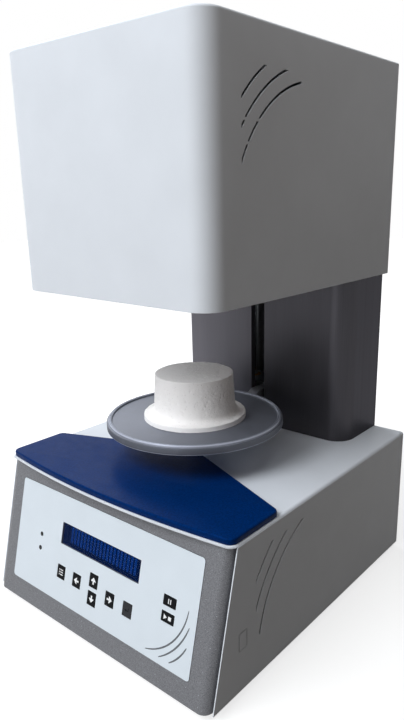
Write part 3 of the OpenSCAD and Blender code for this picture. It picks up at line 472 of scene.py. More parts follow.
class Finish(Nodes):
    """A material that is being made, from its shader's even settings."""

    def __init__(self, name, **shader):
        self.material = bpy.data.materials.new(name)
        self.material.use_nodes = True
        super().__init__(self.material.node_tree)
        self.shader = self.tree.nodes["Principled BSDF"]
        for socket, value in shader.items():
            socket = socket.replace("_", " ").title().replace("Ior", "IOR")
            self.join(self.shader.inputs[socket], value)
        self.places = self.add("ShaderNodeTexCoord").outputs["Object"]

    def moved(self, move=(0, 0, 0), stretch=(1, 1, 1)):
        """Object coordinates, stretched and then moved."""
        inputs = {0: self.places, "Location": move, "Scale": stretch}
        return self.add("ShaderNodeMapping", inputs).outputs[0]

    def length(self, place):
        """How far a place lies from the middle."""
        node = self.add("ShaderNodeVectorMath", {0: place}, operation="LENGTH")
        return node.outputs["Value"]

    def noise(self, size, detail=2, rough=0.5, at=None):
        """Soft noise from 0 to 1 with patches of the given size."""
        inputs = {"Vector": at or self.places, "Scale": 1 / (size * MM), "Detail": detail,
                  "Roughness": rough}
        return self.add("ShaderNodeTexNoise", inputs).outputs[0]

    def brushing(self, streaks, share, detail, rough):
        """Noise drawn out along the brushing, with a share of so many streaks to the metre."""
        at = self.moved(stretch=tuple(s * share for s in streaks))
        return self.noise(1 / MM, detail, rough, at)

    def cells(self, size, output="Distance", at=None):
        """Distances or colours of scattered cells of the given size."""
        inputs = {"Vector": at or self.places, "Scale": 1 / (size * MM)}
        return self.add("ShaderNodeTexVoronoi", inputs).outputs[output]

    def tones(self, value, base, *stops):
        """The shader's colour by a value, from stops of place and share of the base colour."""
        stops = [(place, shade(base, share)) for place, share in stops]
        self.join(self.shader.inputs["Base Color"], self.ramp(value, *stops))

    def colour_by(self, value, base, low, high):
        """The shader's colour, which varies with a value about the base colour."""
        self.tones(value, base, (0.25, low), (0.75, high))

    def rough_by(self, value, low, high):
        """The shader's roughness, between two bounds."""
        self.join(self.shader.inputs["Roughness"], self.between(value, 0.25, 0.75, low, high))

    def bump(self, *layers):
        """The shader's normal, from layers of height, strength and depth."""
        normal = None
        for height, strength, depth in layers:
            inputs = {"Height": height, "Strength": strength, "Distance": depth * MM}
            if normal:
                inputs["Normal"] = normal
            normal = self.add("ShaderNodeBump", inputs).outputs[0]
        self.join(self.shader.inputs["Normal"], normal)
        return self.material


def powder_coat(name, base, grain=1.1):
    """Satin coat with the fine dimples of sprayed powder."""
    f = Finish(name, specular_ior_level=0.15)
    f.colour_by(f.noise(60, 3), base, 0.97, 1.02)
    f.rough_by(f.noise(9, 3), 0.4, 0.5)
    return f.bump((f.noise(grain), 0.16, 0.05), (f.noise(3.2 * grain, 1), 0.1, 0.06))


def flaked_moulding(name, base):
    """Grey moulding with a fine dimpled skin and scattered flakes, whose bright colour is a painted
    glint.
    """
    f = Finish(name, metallic=0.12, specular_ior_level=0.25)
    picked = f.between(f.cells(1.5, "Color"), 0.8, 0.95)
    # Painted glint: scattered flakes are coloured much brighter than the moulding
    flake_glint = f.sums(picked, f.between(f.cells(1.5), 0.28, 0.1), "MULTIPLY")
    mottle = f.between(f.noise(0.9, 3), 0.3, 0.7, 0, 0.22)
    f.tones(f.sums(flake_glint, mottle), base, (0, 0.76), (1, 5.0))
    f.rough_by(f.noise(1.6), 0.38, 0.56)
    return f.bump((f.noise(0.8, 3), 0.55, 0.12), (f.noise(2.6), 0.25, 0.1))


def film(name, base, rough=0.34, gloss=0.3, grain=0.5):
    """Screen-printed plastic film with a faint leathery skin."""
    f = Finish(name, ior=1.47, specular_ior_level=gloss)
    f.colour_by(f.noise(35), base, 0.98, 1.015)
    f.rough_by(f.noise(6), rough, rough + 0.08)
    return f.bump((f.noise(grain), 0.12, 0.03))


def enamel(name, base):
    """Deep coloured enamel with a fine speckle under a clear coat."""
    f = Finish(name, ior=1.5, specular_ior_level=0.03, specular_tint=(0.3, 0.4, 0.6))
    speckle = f.sums(f.noise(0.7), f.noise(2.4, 3))
    f.colour_by(f.between(speckle, 0.7, 1.3), base, 0.8, 1.28)
    f.rough_by(f.noise(14, 3), 0.3, 0.42)
    return f.bump((f.noise(0.8), 0.4, 0.06), (f.noise(3.5), 0.15, 0.08))


def brushed(name, base, streaks, rough, depth=0.2):
    """Metal with fine scratches all one way."""
    f = Finish(name, metallic=1.0)
    fine, broad = f.brushing(streaks, 1, 3, 0.6), f.brushing(streaks, 0.17, 2, 0.5)
    f.colour_by(f.mean(fine, broad), base, 0.85, 1.12)
    f.rough_by(broad, *rough)
    return f.bump((fine, depth, 0.03))


def column_sheet(name, base, streaks):
    """Dark sheet that was brushed upright, with a painted reflection that makes it lighter at the
    left and darker towards the right.
    """
    f = Finish(name, metallic=0.6, specular_ior_level=0.2, specular_tint=(0.3, 0.3, 0.33))
    fine, broad = f.brushing(streaks, 1, 3, 0.6), f.brushing(streaks, 0.1, 2, 0.5)
    x = f.add("ShaderNodeSeparateXYZ", {0: f.places}).outputs[0]
    # Painted reflection: the colour runs from light at the left of the column to dark at its right
    painted_sheen = f.between(x, -0.15, 0.01, 0.92, 0.26)
    value = f.sums(painted_sheen, f.between(fine, 0.2, 0.8, -0.06, 0.06))
    f.tones(value, base, (0.1, 0.55), (0.9, 2.9))
    f.rough_by(broad, 0.34, 0.44)
    return f.bump((fine, 0.08, 0.02))


def turned(name, base, middle, rough=(0.34, 0.46), metallic=0.85, glint_radii=()):
    """Metal that was turned: its scratches are rings about the middle. On the platform the edges at
    the given radii and just above its foot are made lighter as a painted highlight, and its wall is
    made darker as a painted shade."""
    f = Finish(name, metallic=metallic, specular_ior_level=0.2)
    radius = f.length(f.moved(move=(-middle[0], -middle[1], 0), stretch=(1, 1, 0)))
    inputs = {"W": f.sums(radius, 1 / (0.5 * MM), "MULTIPLY"), "Scale": 1.0, "Detail": 3}
    ring = f.add("ShaderNodeTexNoise", inputs, noise_dimensions="1D").outputs[0]
    cloud = f.noise(16, 4)
    grain = f.mean(ring, cloud)
    f.rough_by(cloud, *rough)
    if glint_radii:
        height = f.add("ShaderNodeSeparateXYZ", {0: f.places}).outputs[2]
        # Painted highlight: thin rings at the given radii and just above the foot are made lighter
        painted_glint = f.between(height, DISC_FOOT + 0.7 * MM, DISC_FOOT + 1.3 * MM, 1, 0)
        upper = f.between(height, DISC_FOOT + 5 * MM, DISC_FOOT + 6 * MM)
        for at in glint_radii:
            away = f.sums(f.sums(radius, at, "SUBTRACT"), 0, "ABSOLUTE")
            near = f.between(away, 0.2 * MM, 0.5 * MM, 1, 0)
            painted_glint = f.sums(painted_glint, f.sums(near, upper, "MULTIPLY"), "MAXIMUM")
        # Painted shade: the platform's outer wall is made darker
        painted_wall_shade = f.between(radius, max(glint_radii) + 1.6 * MM, max(glint_radii) + 2.2 * MM, 0, 0.3)
        value = f.sums(f.sums(f.sums(grain, 0.6, "MULTIPLY"), painted_wall_shade, "SUBTRACT"), painted_glint)
        f.tones(value, base, (0, 0.5), (0.2, 0.84), (0.45, 1.1), (1, 2.0))
    else:
        f.colour_by(grain, base, 0.86, 1.12)
    return f.bump((ring, 0.18, 0.04), (f.noise(0.5), 0.08, 0.03))


def fibre(name, base, pits=1.0):
    """Pressed ceramic fibre: a chalky white with crumbs, faint stains and small pits, which are
    made darker as painted shade.
    """
    f = Finish(name, roughness=0.95, specular_ior_level=0.1)
    crumbs = f.noise(1.3, 4, 0.75)
    place = f.moved(move=(0.3, 0.1, 0.2))
    few = f.between(f.cells(3.4, "Color", place), 0.55, 0.6)
    pit = f.sums(f.between(f.cells(3.4, at=place), 0.05, 0.2), few, "MAXIMUM")
    stained = f.mean(crumbs, f.noise(22, 4))
    # The pits take away from the value, so their colour is darker: painted shade in the hollows
    value = f.sums(stained, f.sums(1.0, pit, "SUBTRACT"), "SUBTRACT")
    f.tones(value, base, (0, 0.82), (0.25, 0.97), (0.75, 1.0))
    lumps = f.noise(4.5, 3)
    return f.bump((pit, 0.9 * pits, 0.6), (lumps, 0.6, 0.6), (crumbs, 0.8, 0.4))


def plated(name, base, rough=(0.3, 0.48)):
    """Zinc plate with pale and dark grains."""
    f = Finish(name, metallic=0.9)
    f.colour_by(f.sums(f.cells(7, "Color"), f.noise(2, 3), "MULTIPLY"), base, 0.85, 1.1)
    f.rough_by(f.noise(12, 3), *rough)
    return f.bump((f.noise(1.2), 0.08, 0.03))


def moulded(name, base, rough=(0.42, 0.56), grain=0.45, depth=0.3, coat=0.0):
    """Moulded plastic or rubber with a fine spark-eroded grain."""
    f = Finish(name, ior=1.48, specular_ior_level=0.25, coat_weight=coat)
    f.colour_by(f.noise(18, 3), base, 0.9, 1.08)
    f.rough_by(f.noise(5, 3), *rough)
    return f.bump((f.cells(grain), depth, 0.05), (f.noise(1.3), 0.12, 0.05))


def circuit(name, base, copper):
    """Circuit board: a lacquered ground with paler runs of track along both edges."""
    f = Finish(name, roughness=0.35)
    inputs = {
        "Vector": f.places, "Color1": base, "Color2": shade(base, 0.7), "Mortar": copper,
        "Scale": 90.0, "Mortar Size": 0.025, "Brick Width": 1.7, "Row Height": 0.4,
    }
    tracks = f.add("ShaderNodeTexBrick", inputs).outputs
    f.join(f.shader.inputs["Base Color"], tracks["Color"])
    return f.bump((tracks["Fac"], 0.3, 0.05))


def pane(name, tint):
    """Clear window: little of its own colour, and a sharp gloss."""
    f = Finish(name, base_color=tint, ior=1.5, alpha=0.16, specular_ior_level=0.12,
               specular_tint=(0.4, 0.5, 0.8))
    f.rough_by(f.noise(40), 0.03, 0.07)
    return f.bump((f.noise(30, 1), 0.02, 0.1))


def lit_cell(name, base, glow):
    """Backlit liquid-crystal cell: a deep colour that glows faintly."""
    f = Finish(name, roughness=0.35, specular_ior_level=0.02, emission_color=base,
               emission_strength=glow)
    f.colour_by(f.noise(20), base, 0.85, 1.15)
    return f.bump((f.noise(1, 1), 0.05, 0.02))


FINISH = {}


def finishes():
    """Every finish by name, made once."""
    if FINISH:
        return FINISH
    c = bpy.context.scene.furnace_colours
    by_screw = (0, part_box("lead_screw")[0].y)
    # Radii of the platform's edges that get a painted highlight
    glint_radii = [DISC_R - inset * MM for inset in (2.7, 4.3, 6.3)]
    ways = {
        "hood_paint": (powder_coat, c.hood),
        "housing_paint": (powder_coat, c.base),
        "rear_paint": (powder_coat, c.base, 1.3),
        "plated_steel": (plated, linear(186, 188, 192)),
        "foot_rubber": (moulded, linear(32, 32, 34), (0.7, 0.85), 0.7),
        "panel_moulding": (flaked_moulding, c.panel),
        "label_film": (film, c.film),
        "display_cell": (lit_cell, c.display, 0.35),
        "character_cells": (lit_cell, shade(c.dots, 0.8), 0.4),
        "character_dots": (lit_cell, c.dots, 0.35),
        "display_glass": (pane, linear(8, 30, 78)),
        "lamp_lens": (moulded, linear(14, 14, 17), (0.2, 0.3), 1, 0.02, 0.05),
        "circuit_board": (circuit, linear(14, 82, 50), linear(90, 140, 84)),
        "key_black": (film, c.key, 0.45, 0.06),
        "key_grey": (film, linear(48, 48, 51), 0.45, 0.1),
        "key_mark": (film, c.mark, 0.45),
        "print_grey": (film, c.print_grey, 0.45),
        "blue_enamel": (enamel, c.plate),
        "column_steel": (column_sheet, c.column, (2200, 2200, 14)),
        "machined_aluminium": (brushed, linear(190, 192, 196), (6, 900, 900), (0.28, 0.42)),
        "bright_rod": (brushed, linear(205, 207, 210), (40, 40, 900), (0.1, 0.2), 0.06),
        "bearing_steel": (turned, linear(176, 178, 182), by_screw),
        "screw_steel": (brushed, linear(170, 172, 176), (60, 60, 700), (0.18, 0.3), 0.1),
        "motor_black": (powder_coat, linear(30, 31, 33)),
        "bronze": (turned, linear(186, 146, 84), by_screw),
        "platform_grey": (turned, c.platform, DISC_MIDDLE, (0.42, 0.52), 0.4, glint_radii),
        "plug_fibre": (fibre, c.fibre),
        "seal_silicone": (moulded, linear(150, 66, 46), (0.5, 0.65)),
        "casing_steel": (brushed, linear(150, 150, 150), (30, 30, 800), (0.35, 0.5)),
        "insulation_fibre": (fibre, linear(232, 226, 212), 1.4),
        "muffle_quartz": (film, linear(236, 228, 210), 0.2, 0.3, 2),
        "coil_wire": (brushed, linear(120, 104, 92), (300, 300, 300), (0.4, 0.6)),
        "probe_ceramic": (fibre, linear(238, 234, 222), 0.3),
        "transformer_iron": (plated, linear(104, 92, 82), (0.5, 0.7)),
        "black_plastic": (moulded, linear(26, 26, 28)),
        "connector_pins": (plated, linear(196, 186, 150), (0.2, 0.34)),
        "rocker_red": (moulded, linear(176, 18, 20), (0.2, 0.3), 1, 0.05, 0.3),
        "screw_heads": (turned, linear(190, 192, 196), (0, 0)),
    }
    for name, (make, *how) in ways.items():
        FINISH[name] = make(name.replace("_", " "), *how)
    return FINISH


# Pieces

SOFT_NODES = {
    "base_housing": 1.0, "hood_shell": 1.0, "fascia": 1.6, "column_cover": 0.8,
    "base_rear_cover": 1.0, "column_back": 1.0, "hood_rear_cover": 1.0, "lift_arm": 1.6,
    "carriage": 1.6, "control_label": 0.25,
}
KEY_ROUND = 0.35 * MM
SINK = 0.02 * MM  # how deep a print lies in what carries it


def paint_frame():
    """Gives each node of the frame its finish."""
    for name, node in frame["nodes"].items():
        node.data.materials.clear()
        node.data.materials.append(finishes()[SLOTS[name]])


def soften_frame(sizes):
    """Rounds the edges of the sheet metal and of the larger mouldings."""
    for node, share in SOFT_NODES.items():
        softened(node, share * sizes.edge_round)


PLATE_REAR = 72 * MM  # how far the rear edges' slant runs back over half the width
PLATE_BEVEL, PLATE_STEPS = 0.5 * MM, 480


def make_work_plate(sizes):
    """Enamelled plate: the outline is a rectangle with a bowed front and a pointed rear, and
    the edge is a quarter round that runs over into the flat top."""
    low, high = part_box("work_plate")
    half = high.x
    lip_r = (BASE_HIGH.x ** 2 + sizes.lip_bow ** 2) / (2 * sizes.lip_bow)
    arc_r = lip_r - (BASE_HIGH.x - half)
    chord = math.sqrt(arc_r ** 2 - half ** 2)
    front = low.y + arc_r - chord
    rear_wall = BASE_LOW.y + (BASE_HIGH.z - BASE_LOW.z) * math.tan(LEAN)
    side = rear_wall + sizes.plate_side
    slant = math.atan2(PLATE_REAR, half)
    point = high.y + sizes.plate_point * (1 / math.cos(slant) - 1)
    corners = [(-half, front), (half, front), (half, side), (0, point), (-half, side)]
    radii = [sizes.plate_corner] * 3 + [sizes.plate_point, sizes.plate_corner]
    outline = spread(rounded(corners, radii), PLATE_STEPS, closed=True)
    bow = np.sqrt(arc_r ** 2 - outline[:, 0] ** 2) - chord
    outline[:, 1] -= bow * np.clip((side - outline[:, 1]) / (side - front), 0, 1)
    r = sizes.plate_round
    turn = np.linspace(0, math.pi / 2, 7)
    edge = np.column_stack([r * (1 - np.cos(turn)), high.z - r + r * np.sin(turn)])
    profile = [(PLATE_BEVEL, low.z), (0, low.z + PLATE_BEVEL), *edge]
    surface("work_plate_enamel", lid(outline, profile), "base", "blue_enamel", "work_plate",
            sharp=50)


# The platform's rim, in and up from its outer upper corner, and the radii of its corners
RIM = np.array([
    (0, -3), (-2, -3), (-2.6, 0), (-4, 0), (-4.3, -0.4), (-4.6, 0), (-6.4, 0), (-7, -2.5),
]) * MM
RIM_ROUND = np.array([0.6, 0.3, 0.9, 0.1, 0.1, 0.1, 0.9, 0.4]) * MM


def make_platform():
    """Round platform: one profile with a step, a raised bead and a dished face, turned about
    the platform's axis."""
    dish = DISC_TOP + RIM[-1, 1]
    corners = [(0, DISC_FOOT), (DISC_R, DISC_FOOT), *(RIM + [DISC_R, DISC_TOP]), (0, dish)]
    profile = rounded(corners, [0, 0.8 * MM, *RIM_ROUND, 0], 5, closed=False)
    flat = np.column_stack([np.linspace(0.92 * DISC_R, 0, 6), np.full(6, dish)])
    grid = revolve(np.concatenate([profile[:-1], flat]), DISC_MIDDLE, 192)
    surface("platform_disc", grid, "lift", "platform_grey", "platform", sharp=40)


PLUG_FLANGE = 7 * MM
PLUG_WIDE, PLUG_NARROW, PLUG_MEAN = 54 * MM, 51 * MM, 52.5 * MM
PLUG_ROUND = np.array([0, 0.7, 1.4, 8, 1.3, 0]) * MM
PLUG_LUMPS = [(1.7, 0.34), (4.5, 0.34), (13, 0.25)]  # size and depth in millimetres
PLUG_ROWS, PLUG_COLUMNS = 230, 360
PITS, PITS_ON_TOP = 240, 0.15  # how many, and the share of them on the plug's top
PIT_DEPTH, PIT_FALL = 0.62, 1.4  # share of the pit's size, and how fast the bell curve falls


def make_plug(sizes):
    """Fibre plug: a turned profile whose surface is drawn in by smooth noise of three sizes
    and by scattered pits, each as deep as a bell curve of the distance from its middle."""
    wide, foot, top, _ = round_node("firing_plug")
    step = foot + PLUG_FLANGE
    corners = [(0, foot), (wide, foot), (wide, step), (PLUG_WIDE, step), (PLUG_NARROW, top),
               (0, top)]
    profile = spread(rounded(corners, PLUG_ROUND, closed=False), PLUG_ROWS)
    grid = revolve(profile, DISC_MIDDLE, PLUG_COLUMNS)
    outward = revolve(-left_normals(profile, False), (0, 0, 0), PLUG_COLUMNS)
    depth = np.zeros(grid.shape[:2])
    for seed, (size, deep) in enumerate(PLUG_LUMPS, 1):
        depth += deep * MM * lattice_noise(grid, size * MM, seed)
    chance = np.random.default_rng(11)
    level = foot + (top - foot) * chance.beta(2.4, 1.8, PITS)
    angle = chance.uniform(0, 2 * math.pi, PITS)
    on_top = chance.random(PITS) < PITS_ON_TOP
    radius = np.where(on_top, PLUG_NARROW * np.sqrt(chance.random(PITS)), PLUG_MEAN)
    level = np.where(radius < PLUG_NARROW - MM, top, level)
    pits = np.column_stack([radius * np.cos(angle), radius * np.sin(angle), level]) + DISC_MIDDLE
    reach = sizes.pit_size * chance.uniform(0.4, 1, PITS)
    for pit, size in zip(pits, reach):
        away = np.sum((grid - pit) ** 2, -1) / size ** 2
        depth += PIT_DEPTH * size * np.exp(-away * PIT_FALL)
    depth *= np.clip((grid[..., 2] - foot) / MM, 0, 1)
    surface("plug_fibre_block", grid - outward * depth[..., None], "lift", "plug_fibre",
            "firing_plug", sharp=80)


SCREW_STARTS, SCREW_PLAIN = 4, 38 * MM
SCREW_ROWS, SCREW_COLUMNS = 760, 40
GROOVE = 0.14  # half of a groove's floor, and each of its flanks, as shares of its pitch


def make_lead_screw(sizes):
    """Lead screw of several starts: the radius falls by the thread's depth where the place
    along the screw, less the turn's share of the lead, lies in a groove. The ends are plain."""
    r, foot, top, middle = round_node("lead_screw")
    z = np.linspace(foot, top, SCREW_ROWS)[:, None]
    t = np.linspace(0, 2 * math.pi, SCREW_COLUMNS, endpoint=False)
    phase = (z / sizes.thread_lead * SCREW_STARTS - t / (2 * math.pi) * SCREW_STARTS) % 1
    crest = np.clip((np.abs(phase - 0.5) - GROOVE) / GROOVE, 0, 1)
    past = np.abs(z - (foot + top) / 2) - ((top - foot) / 2 - SCREW_PLAIN)
    radius = r - sizes.thread_depth * (1 - crest) * (1 - np.clip(past / MM, 0, 1))
    grid = np.stack([radius * np.cos(t), radius * np.sin(t), z + 0 * t], -1)
    ends = [np.broadcast_to([0, 0, level], (1, SCREW_COLUMNS, 3)) for level in (foot, top)]
    surface("lead_screw_thread", np.concatenate([ends[0], grid, ends[1]]) + middle, "screw",
            "screw_steel", "lead_screw")


MUFFLE_BORE, COIL_END, COIL_STEPS = 57 * MM, 4 * MM, 72


def make_heating_coil(sizes):
    """Heating coil: a helix along the muffle's inner wall."""
    _, foot, top, _ = round_node("heating_muffle")
    radius = MUFFLE_BORE - sizes.coil_wire
    turns = (top - foot - 2 * COIL_END) / sizes.coil_pitch
    t = np.linspace(0, 2 * math.pi * turns, int(turns * COIL_STEPS))
    rise = foot + COIL_END + t / (2 * math.pi) * sizes.coil_pitch
    path = np.column_stack([radius * np.cos(t), radius * np.sin(t), rise]) + DISC_MIDDLE
    surface("heating_coil", tube(path, sizes.coil_wire), "base", "muffle_quartz",
            finish="coil_wire")


def ribbon(centre, radius, start, end, width, steps=48):
    """Outline of a flat arc: out along the outer edge and back along the inner, with both
    edges drawn together at the ends by the root of a half sine."""
    share = np.linspace(0, 1, steps)
    angle = np.radians(start + (end - start) * share)
    half = (width / 2 * np.sin(math.pi * np.clip(share, 0.002, 0.998)) ** 0.22)[:, None]
    way = np.column_stack([np.cos(angle), np.sin(angle)])
    return np.concatenate([way * (radius + half), (way * (radius - half))[::-1]]) + centre


# Middle and radius in millimetres, and the angles at both ends
PANEL_ARCS = [
    ((74.0, 101.7), 71.5, -75.5, -4.0),
    ((70.7, 101.7), 81.3, -59.3, -15.8),
    ((92.8, 82.1), 61.1, -55.2, -23.6),
]


def make_panel_print(sizes):
    """Three grey arcs that are printed on the film."""
    top = panel_box("control_label")[1][2]
    outlines = [
        ribbon(np.array(c) * MM, r * MM, a, b, sizes.arc_width) for c, r, a, b in PANEL_ARCS
    ]
    plates("printed_arcs", outlines, top - SINK, top + sizes.print_lift, on_panel, "base",
           "label_film", "print_grey")


def bar(x, y, w, h):
    """Corners of an upright rectangle about its middle."""
    return np.array([(-w, -h), (w, -h), (w, h), (-w, h)]) / 2 + [x, y]


COLUMNS, ROWS, DOTS_WIDE, DOTS_TALL = 20, 2, 5, 8
CELL_FILL, DOT_FILL, DOT_SHAPE = 0.64, 0.94, 1.24  # shares of the pitches, and tall to wide
CELL_TALL, ROW_PITCH = 20.6 * MM, 10.4 * MM
DISPLAY_MOVE = np.array([1.6, 1.0]) * MM
DISPLAY_DEEP, DOT_RISE = 1.0 * MM, 0.08 * MM


def make_display(sizes):
    """Upright cells, and on them rows of characters of five by eight dots: each dot is a
    rectangle on a lattice whose place is the character's place plus the dot's."""
    low, high = panel_box("display_module")
    middle = ((low + high) / 2)[:2] + DISPLAY_MOVE
    level = high[2] - DISPLAY_DEEP
    pitch, wide, tall = sizes.character_pitch, sizes.dot_pitch, DOT_SHAPE * sizes.dot_pitch
    col, row, i, j = np.meshgrid(
        *(np.arange(n) - (n - 1) / 2 for n in (COLUMNS, ROWS, DOTS_WIDE, DOTS_TALL)),
        indexing="ij",
    )
    cells = [bar(k * pitch, 0, CELL_FILL * pitch, CELL_TALL) + middle for k in col[:, 0, 0, 0]]
    plates("display_cells", cells, level - 3 * SINK, level + SINK, on_panel, "base",
           "display_cell", "character_cells")
    centres = np.stack([(col * pitch + i * wide).ravel(), (row * ROW_PITCH + j * tall).ravel()], -1)
    centres = (centres + middle)[:, None]
    ring = centres + bar(0, 0, DOT_FILL * wide, DOT_FILL * tall)
    grid = np.empty((len(ring), 4, 4, 3))
    rings = [(centres, 0), (ring, 0), (ring, DOT_RISE), (centres, DOT_RISE)]
    for k, (points, height) in enumerate(rings):
        grid[:, k, :, :2] = points
        grid[:, k, :, 2] = level - SINK + height
    surface("display_dots", on_panel(grid), "base", "display_cell", finish="character_dots",
            sharp=20)


def turned_by(points, angle):
    """Points turned to the left by an angle."""
    c, s = math.cos(angle), math.sin(angle)
    return points @ np.array([[c, s], [-s, c]])


# Pictograms in millimetres about the middles of their keys
ARROW = np.array([(0, 4.4), (3.9, 0.3), (3.9, -0.9), (1.15, -0.4), (1.15, -4.2),
                  (-1.15, -4.2), (-1.15, -0.4), (-3.9, -0.9), (-3.9, 0.3)])
RETURN = np.array([(2.6, 2.6), (2.6, -1.3), (-1.2, -1.3), (-1.2, -2.6), (-3.6, -0.8),
                   (-1.2, 1.0), (-1.2, -0.3), (1.6, -0.3), (1.6, 2.6)])
PICTOGRAMS = {
    "key_program": [bar(x, y, w, h) for x, w, h in ((-2.9, 1.4, 1.4), (1.2, 5, 1.2))
                    for y in (-3, 0, 3)],
    "key_left": [turned_by(ARROW, math.pi / 2)],
    "key_up": [ARROW],
    "key_down": [turned_by(ARROW, math.pi)],
    "key_right": [turned_by(ARROW, 1.5 * math.pi)],
    "key_pause": [bar(-1.5, 0, 1.3, 5.2), bar(1.5, 0, 1.3, 5.2)],
    "key_start_stop": [np.array([(-5.6, -3), (-1, 0), (-5.6, 3)]), bar(3.0, 0, 4.2, 4.2)],
    "key_enter": [RETURN],
}
GREY_KEY, GREY_INSET, GREY_LIFT = "key_enter", 3.4 * MM, 0.04 * MM


def make_keys(sizes):
    """Rounds each key's edges and lays its pictogram on its face. One key has a grey face and
    a black pictogram."""
    for node, outlines in PICTOGRAMS.items():
        softened(node, KEY_ROUND)
        low, high = panel_box(node)
        middle, level = (low[:2] + high[:2]) / 2, high[2]
        carried = (on_panel, node + "_cap", "key_black")
        if node == GREY_KEY:
            face = bar(0, 0, *(high - low)[:2] - GREY_INSET) + middle
            plates(node + "_face", [face], level - SINK, level + GREY_LIFT, *carried, "key_grey")
        marks = [outline * MM + middle for outline in outlines]
        plates(node + "_mark", marks, level - SINK, level + sizes.print_lift, *carried,
               "key_black" if node == GREY_KEY else "key_mark")


LAMP_RISE, LAMP_DOWN = 0.35, 0.1 * MM  # share of the radius, and how deep the domes stand
RING_IN, RING_OUT = 0.1 * MM, 0.9 * MM


def make_lamps(sizes):
    """Two low domes in the film, each a quarter of an oval turned about the lamp's axis, and
    round each a black ring, a flat rectangle turned about the same axis."""
    low, high = panel_box("indicator_lamps")
    top = panel_box("control_label")[1][2]
    r = (high[0] - low[0]) / 2
    t = np.linspace(0, math.pi / 2, 10)
    dome = np.column_stack([r * np.cos(t), high[2] + LAMP_RISE * r * np.sin(t) - LAMP_DOWN])
    dome = np.concatenate([[(0, low[2]), (r, low[2])], dome, [(0, dome[-1, 1])]])
    inner, outer, foot, lift = r + RING_IN, r + RING_OUT, top - SINK, top + sizes.print_lift
    ring = [(inner, foot), (outer, foot), (outer, lift), (inner, lift)]
    x = (low[0] + high[0]) / 2
    domes, rings = (
        np.stack([on_panel(revolve(profile, (x, y, 0), 32)) for y in (low[1] + r, high[1] - r)])
        for profile in (dome, ring)
    )
    surface("lamp_domes", domes, "base", "lamp_lens", "indicator_lamps", sharp=50)
    surface("lamp_rings", rings, "base", "label_film", finish="key_black", closes=(True, True))


def screw_head(radius=3.2 * MM, height=1.8 * MM, half=0.55 * MM, reach=1.9 * MM, deep=1.1 * MM):
    """Pan head with a cross recess, as a level over the radius and the angle: a dome by the
    root of one less the fourth power of the radius, less the depth wherever the place lies in
    one of the cross's two bars."""
    r = np.concatenate([np.linspace(0, 0.72, 14), np.linspace(0.76, 1, 8)])[:, None] * radius
    t = np.linspace(0, 2 * math.pi, 64, endpoint=False)
    x, y = r * np.cos(t), r * np.sin(t)
    dome = height * (0.45 + 0.55 * np.sqrt(np.clip(1 - (r / radius) ** 4, 0, 1)))
    bars = [
        np.clip((reach - np.abs(a)) / (0.4 * MM), 0, 1)
        * np.clip((half - np.abs(b)) / (0.25 * MM), 0, 1)
        for a, b in ((x, y), (y, x))
    ]
    head = np.stack([x, y, dome - deep * np.maximum(*bars)], -1)
    return np.concatenate([head, head[-1:] * [1, 1, 0], 0 * head[-1:]])


SCREW_EDGE = 12 * MM
COVER_COLUMNS = {
    "base_rear_cover": (-1, 0, 1), "column_back": (-1, 1), "hood_rear_cover": (-1, 0, 1),
}


def make_cover_screws():
    """Pan-head screws in the rear covers, placed where the frame's screws are, each turned by
    an angle of its own."""
    head = screw_head()
    grids = []
    for cover, columns in COVER_COLUMNS.items():
        low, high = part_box(cover)
        for side in columns:
            for z in (low.z + SCREW_EDGE, high.z - SCREW_EDGE):
                flat = turned_by(head[..., :2], 1.4 * math.sin(900 * side + 70 * z))
                grid = np.stack([flat[..., 0], head[..., 2], flat[..., 1]], -1)
                grids.append(grid + [side * (high.x - SCREW_EDGE), high.y, z])
    surface("cover_screw_heads", np.stack(grids), "base", "screw_heads", "cover_screws",
            sharp=40)


ROCKER_SLOPE = math.atan2(1.3, 11.4)  # of each half of the rocker's hollow face
ROCKER_FACE, MARK_OUT = 4.2 * MM, 6.2  # from the pin to the face, and from there to each mark
MARK_LOW, MARK_HIGH = -0.05, 0.1


def make_rocker_marks():
    """A bar and a ring on the two ends of the mains rocker."""
    joint = JOINTS["rocker_tip"]
    tilt = math.radians(joint["range_deg"][1] / 2)
    out = np.array([0, math.cos(tilt), -math.sin(tilt)])
    middle = np.array(joint["pos_m"]) + out * ROCKER_FACE

    def on_end(sign):
        """Lays across, along and level on one end of the rocker's face."""
        c, s = math.cos(-tilt - sign * ROCKER_SLOPE), math.sin(-tilt - sign * ROCKER_SLOPE)
        return laid(middle, np.array([0, -s, c]), np.array([0, c, s]))

    plates("rocker_bar", [bar(0, MARK_OUT, 0.9, 4.2) * MM], MARK_LOW * MM, MARK_HIGH * MM,
           on_end(1), "rocker", "rocker_red", "key_mark")
    profile = [(1.5, MARK_LOW), (2.2, MARK_LOW), (2.2, MARK_HIGH), (1.5, MARK_HIGH)]
    ring = revolve(np.array(profile) * MM, (0, -MARK_OUT * MM, 0), 32)
    surface("rocker_ring", on_end(-1)(ring), "rocker", "rocker_red", finish="key_mark",
            closes=(True, True))


# Stage

CAMERA_PLACE = (0.5359, -0.6087, 0.5201)
CAMERA_YAW, CAMERA_PITCH, CAMERA_ROLL = 39.62, 15.78, -0.91
FOCAL_PIXELS, FRAME_TALL, FRAME_WIDE = 635.2, 720, 404
OPTICAL_AXIS = (224.3, 370.6)
SENSOR = 36

